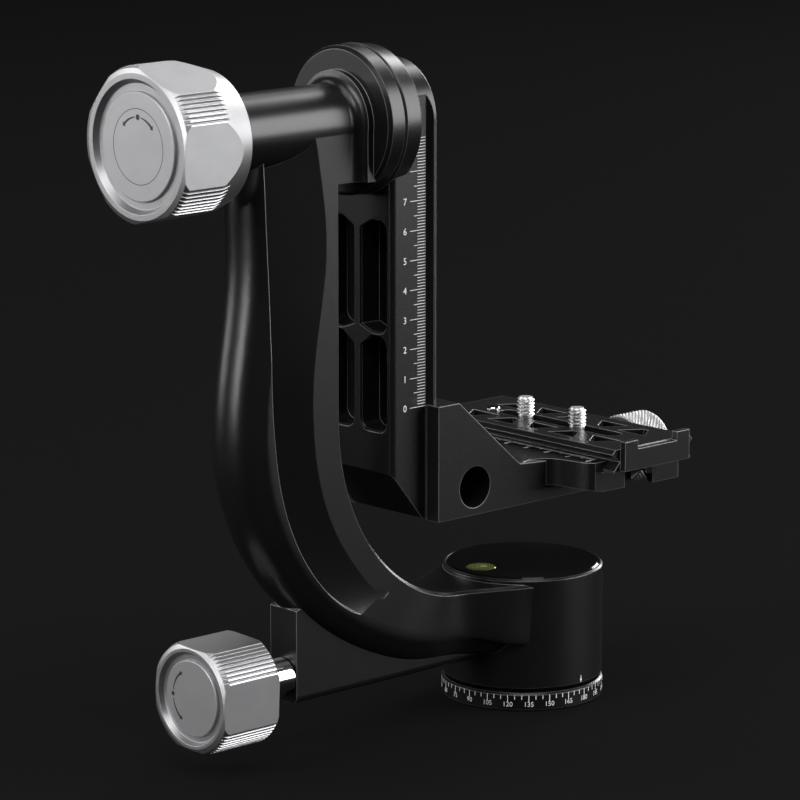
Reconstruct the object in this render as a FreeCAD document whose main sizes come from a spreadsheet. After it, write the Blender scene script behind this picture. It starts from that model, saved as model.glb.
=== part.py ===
import FreeCAD, Part
import math
import os
import re
import Sketcher

# Gimbal tripod head. Millimetres, +Z up along the pan axis, origin in the middle of the
# tripod face, +X along the tilt axis from the tilt knob towards the lens cradle.

SIZES = {
    # base plate and dial
    "dialR": 28.4, "dialTop": 6.6, "dialBevel": 0.7, "threadR": 3.97, "threadDepth": 12.0,
    "bushR": 7.0, "bushTop": 14.0, "bushFlangeR": 9.0, "bushFlangeT": 2.0, "bushFlangeTop": 5.0,
    "baseScrewRing": 13.0, "baseScrewR": 2.0, "baseScrewHeadR": 3.5, "baseScrewHeadT": 3.2,
    "baseScrewCount": 4,
    # spindle and its bearings (20 x 32 x 7 mm)
    "flangeR": 17.0, "flangeTop": 9.8, "shoulderR": 11.6, "spindleR": 10.0, "spindleThreadR": 9.4,
    "spindleTop": 44.4, "lowerBearingZ": 11.5, "panBearingR": 16.0, "panInnerR": 12.2,
    "panBearingT": 7.0, "panBearingPitch": 22.0, "panRaceR": 13.6, "shieldT": 0.8,
    "ringGap": 0.3, "brakeR": 12.5, "brakeStep": 1.5, "washerT": 1.0, "nutR": 13.0, "nutT": 2.7,
    "nutSlot": 2.6, "nutSlotDeep": 1.4,
    # arm casting
    "hubR": 28.1, "hubBottom": 7.2, "hubTop": 47.1, "capR": 26.9, "capSeatR": 27.1,
    "capBottom": 44.9, "capTop": 47.6, "hubBoreR": 15.0, "hubBevel": 0.6,
    "hubFootBevel": 1.2,
    "vialX": -18.1, "vialY": 2.4, "vialR": 5.4, "vialTop": 47.8,
    "flangeClear": 0.4, "tiltZ": 211.57, "armHalfWidth": 12.8, "armBackR": 13.0, "armBevel": 1.0,
    "armInnerX": -98.25, "armBackTopX": -120.3, "armBackSwing": 6.4, "armSwingTopZ": 172.0,
    "innerBendX": -39.85, "innerBendZ": 113.47, "innerBendA": 58.4, "innerBendB": 68.15,
    "backBendX": -38.8, "backBendZ": 111.1, "backBendA": 87.95, "backBendB": 78.5,
    "barrelR": 13.0, "barrelEndX": -146.5, "notchZ": 193.0, "collarR": 17.0, "collarX": -89.5,
    "armFlangeX": -87.0, "armFlangeEndX": -80.0, "armFlangeR": 25.0, "flangeRound": 1.2,
    "bossX": -112.8, "bossHalfWidth": 6.5, "bossBottom": 17.7, "bossRound": 2.7, "bossTop": 50.0,
    "bossEndX": -20.0, "bossSlopeX": -95.0, "bossSlopeTop": 55.0, "bossEndTop": 30.0,
    # tilt shaft and its bearings (12 x 21 x 5 mm)
    "shaftR": 6.0, "shaftShoulderR": 7.2, "shaftShoulderX": -82.5, "shaftThreadR": 5.0,
    "shaftThreadX": -148.7, "shaftEndX": -163.0, "shaftFlangeR": 12.0, "shaftFlangeX": -64.6,
    "shaftFlangeT": 3.6, "shaftScrewRing": 9.6, "shaftScrewR": 1.25, "shaftScrewHeadR": 2.1,
    "shaftScrewCount": 3, "tiltBearingR": 10.5, "tiltInnerR": 7.6, "tiltRaceR": 8.9,
    "tiltBearingT": 5.0, "leftBearingX": -145.3, "rightBearingX": -87.5, "spacerR": 7.4,
    "spacerBoreR": 8.8,
    "discInnerR": 12.5, "discOuterR": 22.0, "discX": -81.2, "discClear": 0.3,
    "ringX": -148.8, "ringT": 2.0, "ringR": 12.2, "ringBoreR": 6.3,
    # swing rail
    "railFlangeX": -79.7, "railFlangeEndX": -71.8, "railFlangeR": 25.2, "railFlangeTaper": 1.0,
    "railFrontX": -79.0, "railRound": 2.2, "railHalf": 17.0, "railFlareX": -63.6,
    "railLipHalf": 19.0, "railBackX": -60.6, "railBottom": 76.0, "railLip": 1.0,
    "railToeX": -65.0, "railToeTop": 93.0, "railToeMidX": -70.5, "railToeMidZ": 82.7,
    "pocketIn": 1.85, "pocketOut": 14.1, "pocketBottom": 107.0, "pocketSplitA": 139.0,
    "pocketSplitB": 140.7, "pocketTop": 178.1, "pocketSlopeY": 5.4, "pocketSlopeLow": 3.8,
    "pocketSlopeMid": 1.9, "pocketSlopeTop": 2.9, "pocketDepth": 8.5, "pocketRound": 3.6,
    "pocketBevel": 0.6,
    "stopScrewZ": 81.0, "stopScrewR": 1.5, "stopHeadR": 2.8, "stopHeadT": 2.0, "stopClear": 0.5,
    # bracket and its jaws
    "bracketFrontX": -63.6, "bracketHalf": 23.6, "bracketBottom": 75.3, "bracketTop": 115.0,
    "gussetTopX": -54.0, "gussetToeX": -26.8, "gussetToeZ": 91.1, "bedTop": 89.7,
    "channelFrontHalf": 17.6, "channelLipHalf": 19.4, "channelBackHalf": 19.3,
    "gussetHoleX": -46.6, "gussetHoleZ": 85.0, "gussetHoleR": 7.2, "railClear": 0.3,
    "wingBottom": 79.0, "bedEndX": 30.0, "bedHalf": 40.5, "grooveHalf": 3.2,
    "grooveDeep": 2.3, "archX": -12.8, "archZ": 33.0, "archR": 47.4,
    "bedFloor": 85.9, "plateX": 17.0, "plateHalf": 19.0, "waistHalf": 16.0, "waistZ": 90.0,
    "plateFlangeHalf": 20.0, "plateBottom": 86.4, "plateTop": 94.5, "plateLength": 46.0,
    "plateTopBevel": 1.6, "plateFootT": 0.6, "plateLipT": 2.4, "lipHalf": 16.0, "lipTab": 6.3,
    "lipTop": 97.2, "lipBottom": 86.9, "lipRecess": 94.1,
    "jawNose": 0.8, "jawHalf": 33.0, "jawEndX": 44.0, "jawGap": 0.9,
    "railJawX": -50.0, "railJawBottom": 84.0, "railJawTop": 112.0, "railJawInner": 15.0,
    "railKnobX": -55.6, "railKnobZ": 98.0, "railKnobR": 11.0, "railKnobT": 13.0,
    "railScrewR": 2.5, "smallKnobNeckT": 1.5, "smallKnobStep": 2.5, "smallKnobBevel": 0.7,
    "plateKnobR": 12.4, "plateKnobX": 47.3, "plateKnobT": 15.7, "plateKnobZ": 80.0,
    "clampScrewR": 2.5, "pinR": 2.0, "pinY": 17.0, "pinLength": 24.0, "slideClear": 0.3,
    # quick-release plate details
    "slotHalf": 3.5, "slotFrom": -30.0, "slotTo": 28.0, "slotWideHalf": 6.0, "slotWideTop": 91.2,
    "trussIn": 6.0, "trussOut": 13.6, "trussPitch": 15.0, "trussHalf": 6.4, "trussDepth": 3.6,
    "cameraR": 3.175, "cameraNeckR": 2.7, "cameraTop": 101.3, "cameraHeadR": 5.5, "cameraHeadZ": 87.0,
    "cameraHeadT": 2.7, "slotWasherR": 5.6, "slotWasherZ": 90.0, "slotWasherT": 0.9,
    "rearScrewY": 16.0, "frontScrewY": -9.5, "locatorR": 2.5, "locatorY": 33.0,
    "locatorTop": 95.1, "locatorBottom": 90.5, "safetyY": 44.4, "safetyR": 1.2,
    "safetyHeadR": 2.2, "safetyHeadT": 2.5, "safetyDepth": 3.6,
    # tilt knob
    "knobBackX": -144.8, "knobSkirtR": 22.4, "knobR": 26.0, "knobFaceX": -174.3,
    "knobGripX": -157.0, "knobFlat": 23.9, "knobFlatCount": 5, "knobFlatTurn": -3.4,
    "knobCavityR": 15.0, "knobCavityX": -149.1, "knobRimR": 21.7, "knobRimRound": 2.4,
    "knobRingX": -172.4, "knobCapR": 17.8, "knobCapX": -173.4, "knobInsertR": 8.0,
    "knobInsertEndX": -165.0, "grooveDepth": 0.9, "groovePitch": 3.6, "knobGrooves": 7,
    # pan-lock knob, screw and shoe
    "panLockZ": 26.4, "panKnobBackX": -130.2, "panKnobR": 19.3, "panKnobFaceX": -154.4,
    "panKnobFlat": 17.35, "panKnobFlatCount": 4, "panKnobFlatTurn": -2.5, "panKnobRimR": 15.8,
    "panKnobRimRound": 2.4, "panKnobRingX": -152.6, "panKnobCapR": 12.9, "panKnobCapX": -153.5,
    "panKnobGrooves": 8, "panGroovePitch": 4.6, "lockCollarR": 6.5, "lockCollarX": -113.3,
    "lockGrooveX": -121.0, "lockGrooveW": 2.4, "lockGrooveR": 5.4, "lockThreadR": 4.0,
    "lockThreadEndX": -98.0, "lockRodR": 3.2, "lockRodEndX": -21.2, "lockInsideX": -147.0,
    "lockBushR": 5.4, "lockBushEndX": -100.0, "lockBoreR": 4.4, "shoeR": 4.7, "shoeHoleR": 5.0,
    "shoeX": -20.8, "shoeGap": 0.4, "fitGap": 0.05,
}

# Stations of the channel on each side of the arm, from the barrel down to the bend.
# Above the bend: height, distance from the inner face to the crease, to the hip, and depth.
CHANNEL_STRAIGHT = (
    (214.0, 12.5, 31.2, 6.0), (200.0, 9.0, 30.9, 6.6), (184.0, 6.6, 30.4, 7.2),
    (168.0, 6.2, 29.8, 7.8), (150.0, 8.8, 29.7, 8.0), (132.0, 11.6, 30.1, 8.0),
)
# In the bend: bend angle, distance to the crease, to the hip, and depth.
CHANNEL_BEND = (
    (0.0, 12.0, 29.2, 7.6), (15.0, 11.4, 28.2, 6.6), (30.0, 10.8, 27.0, 5.0),
    (45.0, 10.0, 24.5, 2.6), (58.0, 10.2, 20.0, -0.6),
)
# Where the arm widens into the hub: X, half width, depth of the round back's centre line.
ARM_FLARE = ((-30.0, 17.0, 32.0), (-21.0, 20.9, 31.0), (-13.5, 24.58, 30.0))
# Plan outline of the bracket's wing behind its rounded corner, from the gusset outwards.
WING_CURVE = (
    (-22.9, 23.0), (-18.2, 21.1), (-15.2, 21.9), (-11.9, 24.1), (-10.1, 27.3),
    (-9.3, 30.8), (-8.3, 35.9), (-7.1, 39.0),
)

document = FreeCAD.newDocument("GimbalHead")
sheet = document.addObject("Spreadsheet::Sheet", "sizes")
for row, (alias, value) in enumerate(SIZES.items(), start=1):
    sheet.set("A%d" % row, alias)
    sheet.set("B%d" % row, str(value))
    sheet.setAlias("B%d" % row, alias)
document.recompute()

Vector = FreeCAD.Vector
subparts = []


def size(alias):
    """A driving dimension, read from the sheet."""
    return float(sheet.get(alias))


def bound(text):
    """An expression in which each word that names a cell points at the sheet."""
    def link(match):
        word = match.group()
        return "sizes." + word if word in SIZES else word
    return re.sub(r"[A-Za-z]\w*", link, str(text))


def place(item, at):
    """Binds an object's place to three expressions."""
    for axis, text in zip("xyz", at):
        item.setExpression("Placement.Base." + axis, bound(text))


def new_body(label, at=("0", "0", "0"), keep=True):
    body = document.addObject("PartDesign::Body", label)
    body.Label = label
    place(body, at)
    if keep:
        subparts.append(body)
    return body


def origin_item(body, role):
    return [item for item in body.Origin.OriginFeatures if item.Role == role][0]


def new_sketch(body, plane, offset="0", rise="0"):
    """A sketch on an origin plane, moved along its normal and up its own y axis."""
    sketch = body.newObject("Sketcher::SketchObject", body.Label + "_sketch")
    sketch.AttachmentSupport = [(origin_item(body, plane), "")]
    sketch.MapMode = "FlatFace"
    sketch.setExpression("AttachmentOffset.Base.z", bound(offset))
    sketch.setExpression("AttachmentOffset.Base.y", bound(rise))
    return sketch


def fix(sketch, kind, place_of, text):
    """Adds a dimension whose value is bound to an expression."""
    index = sketch.addConstraint(Sketcher.Constraint(kind, *place_of, 1.0))
    sketch.setExpression("Constraints[%d]" % index, bound(text))


def polygon(sketch, corners):
    """A closed outline of straight lines through corners given as expressions."""
    count = len(corners)
    first = sketch.GeometryCount
    spots = [Vector(math.cos(2 * math.pi * k / count), math.sin(2 * math.pi * k / count), 0)
             for k in range(count)]
    for k in range(count):
        sketch.addGeometry(Part.LineSegment(spots[k], spots[(k + 1) % count]), False)
    for k in range(count):
        following = first + (k + 1) % count
        sketch.addConstraint(Sketcher.Constraint("Coincident", first + k, 2, following, 1))
    for k, (across, up) in enumerate(corners):
        fix(sketch, "DistanceX", (-1, 1, first + k, 1), across)
        fix(sketch, "DistanceY", (-1, 1, first + k, 1), up)
    return sketch


def circle(sketch, across, up, radius):
    item = sketch.addGeometry(Part.Circle(Vector(1, 1, 0), Vector(0, 0, 1), 1.0), False)
    fix(sketch, "DistanceX", (-1, 1, item, 3), across)
    fix(sketch, "DistanceY", (-1, 1, item, 3), up)
    fix(sketch, "Radius", (item,), radius)
    return sketch


def feature(body, kind, sketch, **settings):
    item = body.newObject("PartDesign::" + kind, body.Label + "_" + kind.lower())
    item.Profile = sketch
    for name, value in settings.items():
        setattr(item, name, value)
    return item


def turn(body, corners, axis):
    """Turns an outline on the XZ plane about the X axis (H_Axis) or the Z axis (V_Axis)."""
    sketch = polygon(new_sketch(body, "XZ_Plane"), corners)
    return feature(body, "Revolution", sketch, ReferenceAxis=(sketch, [axis]), Angle=360.0)


def turned(label, at, corners, axis="V_Axis"):
    body = new_body(label, at)
    turn(body, corners, axis)
    return body


def pad(body, sketch, length, midplane=False, back=False):
    item = feature(body, "Pad", sketch, Midplane=midplane, Reversed=back)
    item.setExpression("Length", bound(length))
    return item


def cut(body, sketch, length, midplane=False, forward=False):
    """A pocket against the sketch's normal, along it, or both ways, that must remove metal."""
    document.recompute()
    before = body.Shape.Volume
    item = feature(body, "Pocket", sketch, Midplane=midplane, Reversed=forward)
    item.setExpression("Length", bound(length))
    document.recompute()
    if body.Shape.Volume > before - 1e-6:
        raise RuntimeError("pocket in %s removes nothing" % body.Label)
    return item


def repeat_round(body, item, axis, count, angle=360.0):
    pattern = body.newObject("PartDesign::PolarPattern", body.Label + "_round")
    pattern.Originals = [item]
    pattern.Axis = (origin_item(body, axis), [""])
    pattern.Angle = angle
    pattern.setExpression("Occurrences", bound(count))
    body.Tip = pattern
    return pattern


def repeat_along(body, item, axis, pitch, count):
    pattern = body.newObject("PartDesign::LinearPattern", body.Label + "_row")
    pattern.Originals = [item]
    pattern.Direction = (origin_item(body, axis), [""])
    pattern.setExpression("Length", bound("(%s) * (%s - 1)" % (pitch, count)))
    pattern.setExpression("Occurrences", bound(count))
    body.Tip = pattern
    return pattern


def round_edges(body, radius, wanted, kind="Fillet"):
    """Rounds or bevels the edges of the last feature that a test picks."""
    document.recompute()
    base = body.Tip
    names = ["Edge%d" % (k + 1) for k, edge in enumerate(base.Shape.Edges) if wanted(edge)]
    item = body.newObject("PartDesign::" + kind, body.Label + "_" + kind.lower())
    item.Base = (base, names)
    item.setExpression("Radius" if kind == "Fillet" else "Size", bound(radius))
    return item


def runs_along(edge, axis):
    """True for a straight edge along the axis."""
    if edge.Curve.TypeId != "Part::GeomLine":
        return False
    return abs(edge.Curve.Direction.dot(axis)) > 0.999


def rectangle(left, low, right, high):
    return [(left, low), (right, low), (right, high), (left, high)]


# ---------------------------------------------------------------- base and pan bearing

base = turned("base_dial", ("0", "0", "0"), [
    ("bushR", "0"), ("dialR - dialBevel", "0"), ("dialR", "dialBevel"),
    ("dialR", "dialTop - dialBevel"), ("dialR - dialBevel", "dialTop"),
    ("flangeR + 0.1", "dialTop"), ("flangeR + 0.1", "bushFlangeTop"),
    ("bushFlangeR", "bushFlangeTop"), ("bushFlangeR", "bushFlangeTop - bushFlangeT"),
    ("bushR", "bushFlangeTop - bushFlangeT")])
for radius, depth in (("baseScrewHeadR + 0.1", "baseScrewHeadT + 0.4"), ("baseScrewR", "bushFlangeTop")):
    hole = circle(new_sketch(base, "XY_Plane"), "baseScrewRing", "0", radius)
    repeat_round(base, cut(base, hole, depth, forward=True), "Z_Axis", "baseScrewCount")

turned("thread_bushing", ("0", "0", "0"), [
    ("threadR", "0"), ("bushR", "0"), ("bushR", "bushFlangeTop - bushFlangeT"),
    ("bushFlangeR", "bushFlangeTop - bushFlangeT"), ("bushFlangeR", "bushFlangeTop"),
    ("bushR", "bushFlangeTop"), ("bushR", "bushTop"), ("0", "bushTop"), ("0", "threadDepth"),
    ("threadR", "threadDepth")])

spindle = turned("pan_spindle", ("0", "0", "0"), [
    ("bushR", "bushFlangeTop"), ("flangeR", "bushFlangeTop"), ("flangeR", "flangeTop"),
    ("shoulderR", "flangeTop"), ("shoulderR", "lowerBearingZ"), ("spindleR", "lowerBearingZ"),
    ("spindleR", "lowerBearingZ + panBearingPitch + panBearingT"),
    ("spindleThreadR", "lowerBearingZ + panBearingPitch + panBearingT"),
    ("spindleThreadR", "spindleTop"), ("0", "spindleTop"), ("0", "bushTop"), ("bushR", "bushTop")])
tapped = circle(new_sketch(spindle, "XY_Plane", "bushFlangeTop"), "baseScrewRing", "0", "baseScrewR")
repeat_round(spindle, cut(spindle, tapped, "flangeTop - bushFlangeTop - 1", forward=True),
             "Z_Axis", "baseScrewCount")

screws = new_body("base_screws", ("0", "0", "0.4"))
head = pad(screws, circle(new_sketch(screws, "XY_Plane"), "baseScrewRing", "0", "baseScrewHeadR"),
           "baseScrewHeadT")
repeat_round(screws, head, "Z_Axis", "baseScrewCount")
shank = pad(screws, circle(new_sketch(screws, "XY_Plane"), "baseScrewRing", "0", "baseScrewR"),
            "flangeTop - 1.8")
repeat_round(screws, shank, "Z_Axis", "baseScrewCount")


def inner_ring(bore, outer, width):
    return rectangle(bore, "0", outer, width)


def outer_ring(lip, race, outer, width):
    """Section of an outer bearing ring with a shield at each side."""
    return [(outer, "0"), (lip, "0"), (lip, "shieldT"), (race, "shieldT"),
            (race, width + " - shieldT"), (lip, width + " - shieldT"), (lip, width), (outer, width)]


pan_inner = turned("pan_bearing_inner_rings", ("0", "0", "lowerBearingZ"),
                   inner_ring("spindleR", "panInnerR", "panBearingT"))
repeat_along(pan_inner, pan_inner.Tip, "Z_Axis", "panBearingPitch", "2")
pan_outer = turned("pan_bearing_outer_rings", ("0", "0", "lowerBearingZ"),
                   outer_ring("panInnerR + ringGap", "panRaceR", "panBearingR", "panBearingT"))
repeat_along(pan_outer, pan_outer.Tip, "Z_Axis", "panBearingPitch", "2")

turned("pan_brake_sleeve", ("0", "0", "lowerBearingZ + panBearingT"), [
    ("spindleR", "0"), ("shoulderR", "0"), ("shoulderR", "brakeStep"), ("brakeR", "brakeStep"),
    ("brakeR", "panBearingPitch - panBearingT - brakeStep"),
    ("shoulderR", "panBearingPitch - panBearingT - brakeStep"),
    ("shoulderR", "panBearingPitch - panBearingT"), ("spindleR", "panBearingPitch - panBearingT")])
turned("spindle_washer", ("0", "0", "lowerBearingZ + panBearingPitch + panBearingT"),
       rectangle("spindleThreadR", "0", "shoulderR", "washerT"))
nut = turned("spindle_nut", ("0", "0", "lowerBearingZ + panBearingPitch + panBearingT + washerT"),
             rectangle("spindleThreadR", "0", "nutR", "nutT"))
slot = polygon(new_sketch(nut, "XY_Plane", "nutT"),
               rectangle("nutR - nutSlotDeep", "-nutSlot / 2", "nutR + 1", "nutSlot / 2"))
repeat_round(nut, cut(nut, slot, "nutT + 1"), "Z_Axis", "4")


# ---------------------------------------------------------------- arm casting

def back_line(height):
    """X of the round back's centre line above the bend."""
    start, top = size("backBendZ"), size("armSwingTopZ")
    part = min((height - start) / (top - start), 1.0)
    return size("armBackTopX") - size("armBackSwing") * (1 + math.cos(math.pi * part)) / 2


def straight_station(height):
    """Inner face and back centre of the arm's upright at a height."""
    return Vector(size("armInnerX"), 0, height), Vector(back_line(height), 0, height)


def bend_station(degrees):
    """Inner face and back centre of the arm's bend: two quarter ellipses."""
    angle = math.radians(degrees)

    def spot(name):
        return Vector(size(name + "X") - size(name + "A") * math.cos(angle), 0,
                      size(name + "Z") - size(name + "B") * math.sin(angle))
    return spot("innerBend"), spot("backBend")


def arm_section(inner, centre, half_width):
    """Section of the arm: flat inner face with bevels, flat sides and a round back."""
    outward = (centre - inner).normalize()
    side = Vector(0, half_width, 0)
    bevel = size("armBevel")
    narrow = Vector(0, half_width - bevel, 0)
    shoulder = inner + outward * bevel
    steps = 8
    back = Part.BSplineCurve()
    back.interpolate(Points=[centre + side * math.cos(math.pi * k / steps)
                             + outward * (size("armBackR") * math.sin(math.pi * k / steps))
                             for k in range(steps + 1)],
                     InitialTangent=outward, FinalTangent=outward * -1)
    corners = [centre - side, shoulder - side, inner - narrow, inner + narrow,
               shoulder + side, centre + side]
    lines = [Part.makeLine(a, b) for a, b in zip(corners, corners[1:])]
    return Part.Wire(lines + [back.toShape()])


def channel_section(inner, centre, crease, hip, depth, side):
    """Section of the tool that cuts the channel: a sloping floor and a steep wall at the hip."""
    outward = (centre - inner).normalize()
    half = size("armHalfWidth")
    floor_end = hip - 1.2
    overrun = 3.0
    slope = depth / (floor_end - crease)
    clear = half + 9.0
    corners = [(crease - overrun, half + overrun * slope), (floor_end, half - depth),
               (hip + 0.3, half + 1.5), (hip + 0.3, clear), (crease - overrun, clear)]
    spots = [inner + outward * along + Vector(0, side * across, 0) for along, across in corners]
    return Part.makePolygon(spots + spots[:1])


def arm_limb():
    half = size("armHalfWidth")
    stations = [straight_station(height) + (half,) for height in (212, 196, 180, 164, 148, 132)]
    stations += [bend_station(degrees) + (half,) for degrees in range(0, 91, 10)]
    flat_top = bend_station(90)[0].z
    stations += [(Vector(x, 0, flat_top), Vector(x, 0, z), width) for x, width, z in ARM_FLARE]
    limb = Part.makeLoft([arm_section(*station) for station in stations], True, False)
    rows = [straight_station(row[0]) + row[1:] for row in CHANNEL_STRAIGHT]
    rows += [bend_station(row[0]) + row[1:] for row in CHANNEL_BEND]
    tools = [Part.makeLoft([channel_section(*row, side) for row in rows], True, False)
             for side in (-1, 1)]
    return limb.cut(tools)


def along_x(radius, start, end, z):
    return Part.makeCylinder(radius, end - start, Vector(start, 0, z), Vector(1, 0, 0))


def along_z(radius, start, end, x=0.0, y=0.0):
    return Part.makeCylinder(radius, end - start, Vector(x, y, start))


def outline(corners, bends, spot):
    """A closed wire through corners; an arc leaves each corner whose number is in bends."""
    spots = [spot(*corner) for corner in corners]
    pieces = []
    for k, start in enumerate(spots):
        end = spots[(k + 1) % len(spots)]
        if k in bends:
            pieces.append(Part.Arc(start, spot(*bends[k]), end).toShape())
        else:
            pieces.append(Part.makeLine(start, end))
    return Part.Wire(pieces)


def hollow(radius, side=1):
    """Start, middle and end of the quarter arc that leads from the barrel up to the collar."""
    rise = size("collarR") - size("barrelR")
    start = size("collarX") - rise
    part = math.sqrt(0.5)
    return ((start, side * radius), (start + rise * part, side * (radius + rise * (1 - part))),
            (size("collarX"), side * (radius + rise)))


def arm_barrel():
    """Barrel, collar and friction flange, turned about the tilt axis."""
    z, start, flange = size("tiltZ"), size("barrelEndX"), size("armFlangeX")
    radius, rim, edge = size("barrelR"), size("armFlangeR"), size("flangeRound")
    end, bevel, lip = size("armFlangeEndX"), 0.8, 0.4
    foot, middle, top = hollow(radius)
    section = outline([(start, 0), (start, radius - bevel), (start + bevel, radius), foot, top,
                       (flange, size("collarR")), (flange, rim - edge), (flange + edge, rim),
                       (end - lip, rim), (end, rim - lip), (end, 0)],
                      {3: middle}, lambda x, r: Vector(x, 0, z + r))
    return Part.Face(section).revolve(Vector(0, 0, z), Vector(1, 0, 0), 360)


def arm_neck():
    """Block under the barrel: its sides lead from the limb into the collar's hollow."""
    half, start, end = size("armHalfWidth"), size("armInnerX") - 3, size("armFlangeX") + 1
    foot, middle, top = hollow(half)
    other_foot, other_middle, other_top = hollow(half, -1)
    plan = outline([(start, half), foot, top, (end, top[1]), (end, other_top[1]),
                    other_top, other_foot, (start, -half)], {1: middle, 5: other_middle},
                   lambda x, y: Vector(x, y, size("notchZ")))
    return Part.Face(plan).extrude(Vector(0, 0, size("tiltZ") - size("notchZ")))


def arm_boss():
    """Web under the bend that carries the pan-lock screw."""
    half, front, low, end = size("bossHalfWidth"), size("bossX"), size("bossBottom"), size("bossEndX")
    corners = [(front, low), (end, low), (end, size("bossEndTop")),
               (size("bossSlopeX"), size("bossSlopeTop")), (front, size("bossTop"))]
    face = Part.Face(outline(corners, {}, lambda x, z: Vector(x, -half, z)))
    web = face.extrude(Vector(0, 2 * half, 0))
    under = [edge for edge in web.Edges if runs_along(edge, Vector(1, 0, 0))
             and edge.CenterOfMass.z < low + 0.1]
    return web.makeFillet(size("bossRound"), under)


def arm_hub():
    bottom, top = size("hubBottom"), size("hubTop")
    hub = along_z(size("hubR"), bottom, top)
    for height, bevel in ((bottom, size("hubFootBevel")), (top, size("hubBevel"))):
        rim = [edge for edge in hub.Edges if edge.Closed and abs(edge.CenterOfMass.z - height) < 0.01]
        hub = hub.makeChamfer(bevel, rim)
    return hub


def arm_bores():
    z, bearing = size("tiltZ"), size("tiltBearingR")
    flange_end, width = size("armFlangeEndX"), size("tiltBearingT")
    upper = size("lowerBearingZ") + size("panBearingPitch")
    lock = size("panLockZ")
    pan = [along_z(size("flangeR") + size("flangeClear"), 0, size("flangeTop") + size("flangeClear")),
           along_z(size("panBearingR"), 0, size("lowerBearingZ") + size("panBearingT")),
           along_z(size("hubBoreR"), 0, upper + 1),
           along_z(size("panBearingR"), upper, size("capBottom") + 1),
           along_z(size("capSeatR"), size("capBottom"), size("hubTop") + 1)]
    tilt = [along_x(size("spacerBoreR"), size("barrelEndX") - 1, flange_end + 1, z),
            along_x(bearing, size("barrelEndX") - 1, size("leftBearingX") + width, z),
            along_x(bearing, size("rightBearingX"), flange_end + 1, z),
            along_x(size("discOuterR") + size("discClear"), size("discX") - size("discClear"),
                    flange_end + 1, z)]
    pan_lock = [along_x(size("lockBushR"), size("bossX") - 1, size("lockBushEndX"), lock),
                along_x(size("lockBoreR"), size("bossX") - 1, -10, lock),
                along_x(size("shoeHoleR"), size("shoeX") - 3.4, -8, lock)]
    return pan + tilt + pan_lock


arm = document.addObject("Part::Feature", "arm")
arm.Label = "arm"
arm.Shape = arm_limb().fuse([arm_barrel(), arm_neck(), arm_boss(), arm_hub()]).cut(arm_bores())
arm.Placement = FreeCAD.Placement()
subparts.append(arm)

cap = turned("hub_cap", ("0", "0", "capBottom"), [
    ("0", "0"), ("capR", "0"), ("capR", "capTop - capBottom - 0.6"),
    ("capR - 0.6", "capTop - capBottom"), ("0", "capTop - capBottom")])
cut(cap, circle(new_sketch(cap, "XY_Plane", "capTop - capBottom"), "vialX", "vialY", "vialR"),
    "capTop - capBottom")
turned("level_vial", ("vialX", "vialY", "capBottom"), [
    ("0", "0"), ("vialR", "0"), ("vialR", "vialTop - capBottom - 0.5"),
    ("vialR - 0.5", "vialTop - capBottom"), ("0", "vialTop - capBottom")])

# ---------------------------------------------------------------- pan lock

turned("pan_lock_bushing", ("bossX + 0.3", "0", "panLockZ"),
       rectangle("0", "lockThreadR + fitGap", "lockBushEndX - bossX - 0.3", "lockBushR"), "H_Axis")
turned("pan_lock_screw", ("0", "0", "panLockZ"), [
    ("lockInsideX", "0"), ("lockInsideX", "lockThreadR"), ("panKnobBackX", "lockThreadR"),
    ("panKnobBackX", "lockCollarR"), ("lockGrooveX - lockGrooveW", "lockCollarR"),
    ("lockGrooveX - lockGrooveW", "lockGrooveR"), ("lockGrooveX", "lockGrooveR"),
    ("lockGrooveX", "lockCollarR"), ("lockCollarX", "lockCollarR"), ("lockCollarX", "lockThreadR"),
    ("lockThreadEndX", "lockThreadR"), ("lockThreadEndX + 1", "lockRodR"),
    ("lockRodEndX", "lockRodR"), ("lockRodEndX", "0")], "H_Axis")
shoe = turned("pan_brake_shoe", ("0", "0", "panLockZ"),
              rectangle("shoeX", "0", "-brakeR + 4", "shoeR"), "H_Axis")
cut(shoe, circle(new_sketch(shoe, "XY_Plane"), "0", "0", "brakeR + shoeGap"), "30", midplane=True)


def grip_grooves(body, radius, grooves, pitch, flats, turn_angle, start, end):
    """V grooves between the flats: one narrow row, repeated for each flat."""
    sketch = new_sketch(body, "YZ_Plane", start)
    middle = 180.0 / SIZES[flats] + SIZES[turn_angle]
    for k in range(int(SIZES[grooves])):
        angle = math.radians(middle + SIZES[pitch] * (k - (SIZES[grooves] - 1) / 2))
        spread = math.radians(SIZES[pitch] * 0.46)
        reach = SIZES[radius] + 0.6
        tips = ((reach, angle - spread), (SIZES[radius] - SIZES["grooveDepth"], angle),
                (reach, angle + spread))
        spots = [Vector(-r * math.cos(a), r * math.sin(a), 0) for r, a in tips]
        for first, second in zip(spots, spots[1:] + spots[:1]):
            sketch.addGeometry(Part.LineSegment(first, second), False)
    row = cut(body, sketch, "%s - (%s)" % (end, start), forward=True)
    repeat_round(body, row, "X_Axis", flats)


def flat_tool(sketch, radius, flat, turn_angle):
    """Outline of the tool that cuts one flat: a rectangle standing on the flat, outside the knob."""
    reach = "8"
    corners = []
    for side, out in (("-1", "0"), ("1", "0"), ("1", reach), ("-1", reach)):
        corners.append((
            "-(%s + %s) * cos(%s) - %s * %s * sin(%s)" % (flat, out, turn_angle, side, radius, turn_angle),
            "(%s + %s) * sin(%s) - %s * %s * cos(%s)" % (flat, out, turn_angle, side, radius, turn_angle)))
    return polygon(sketch, corners)


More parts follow.
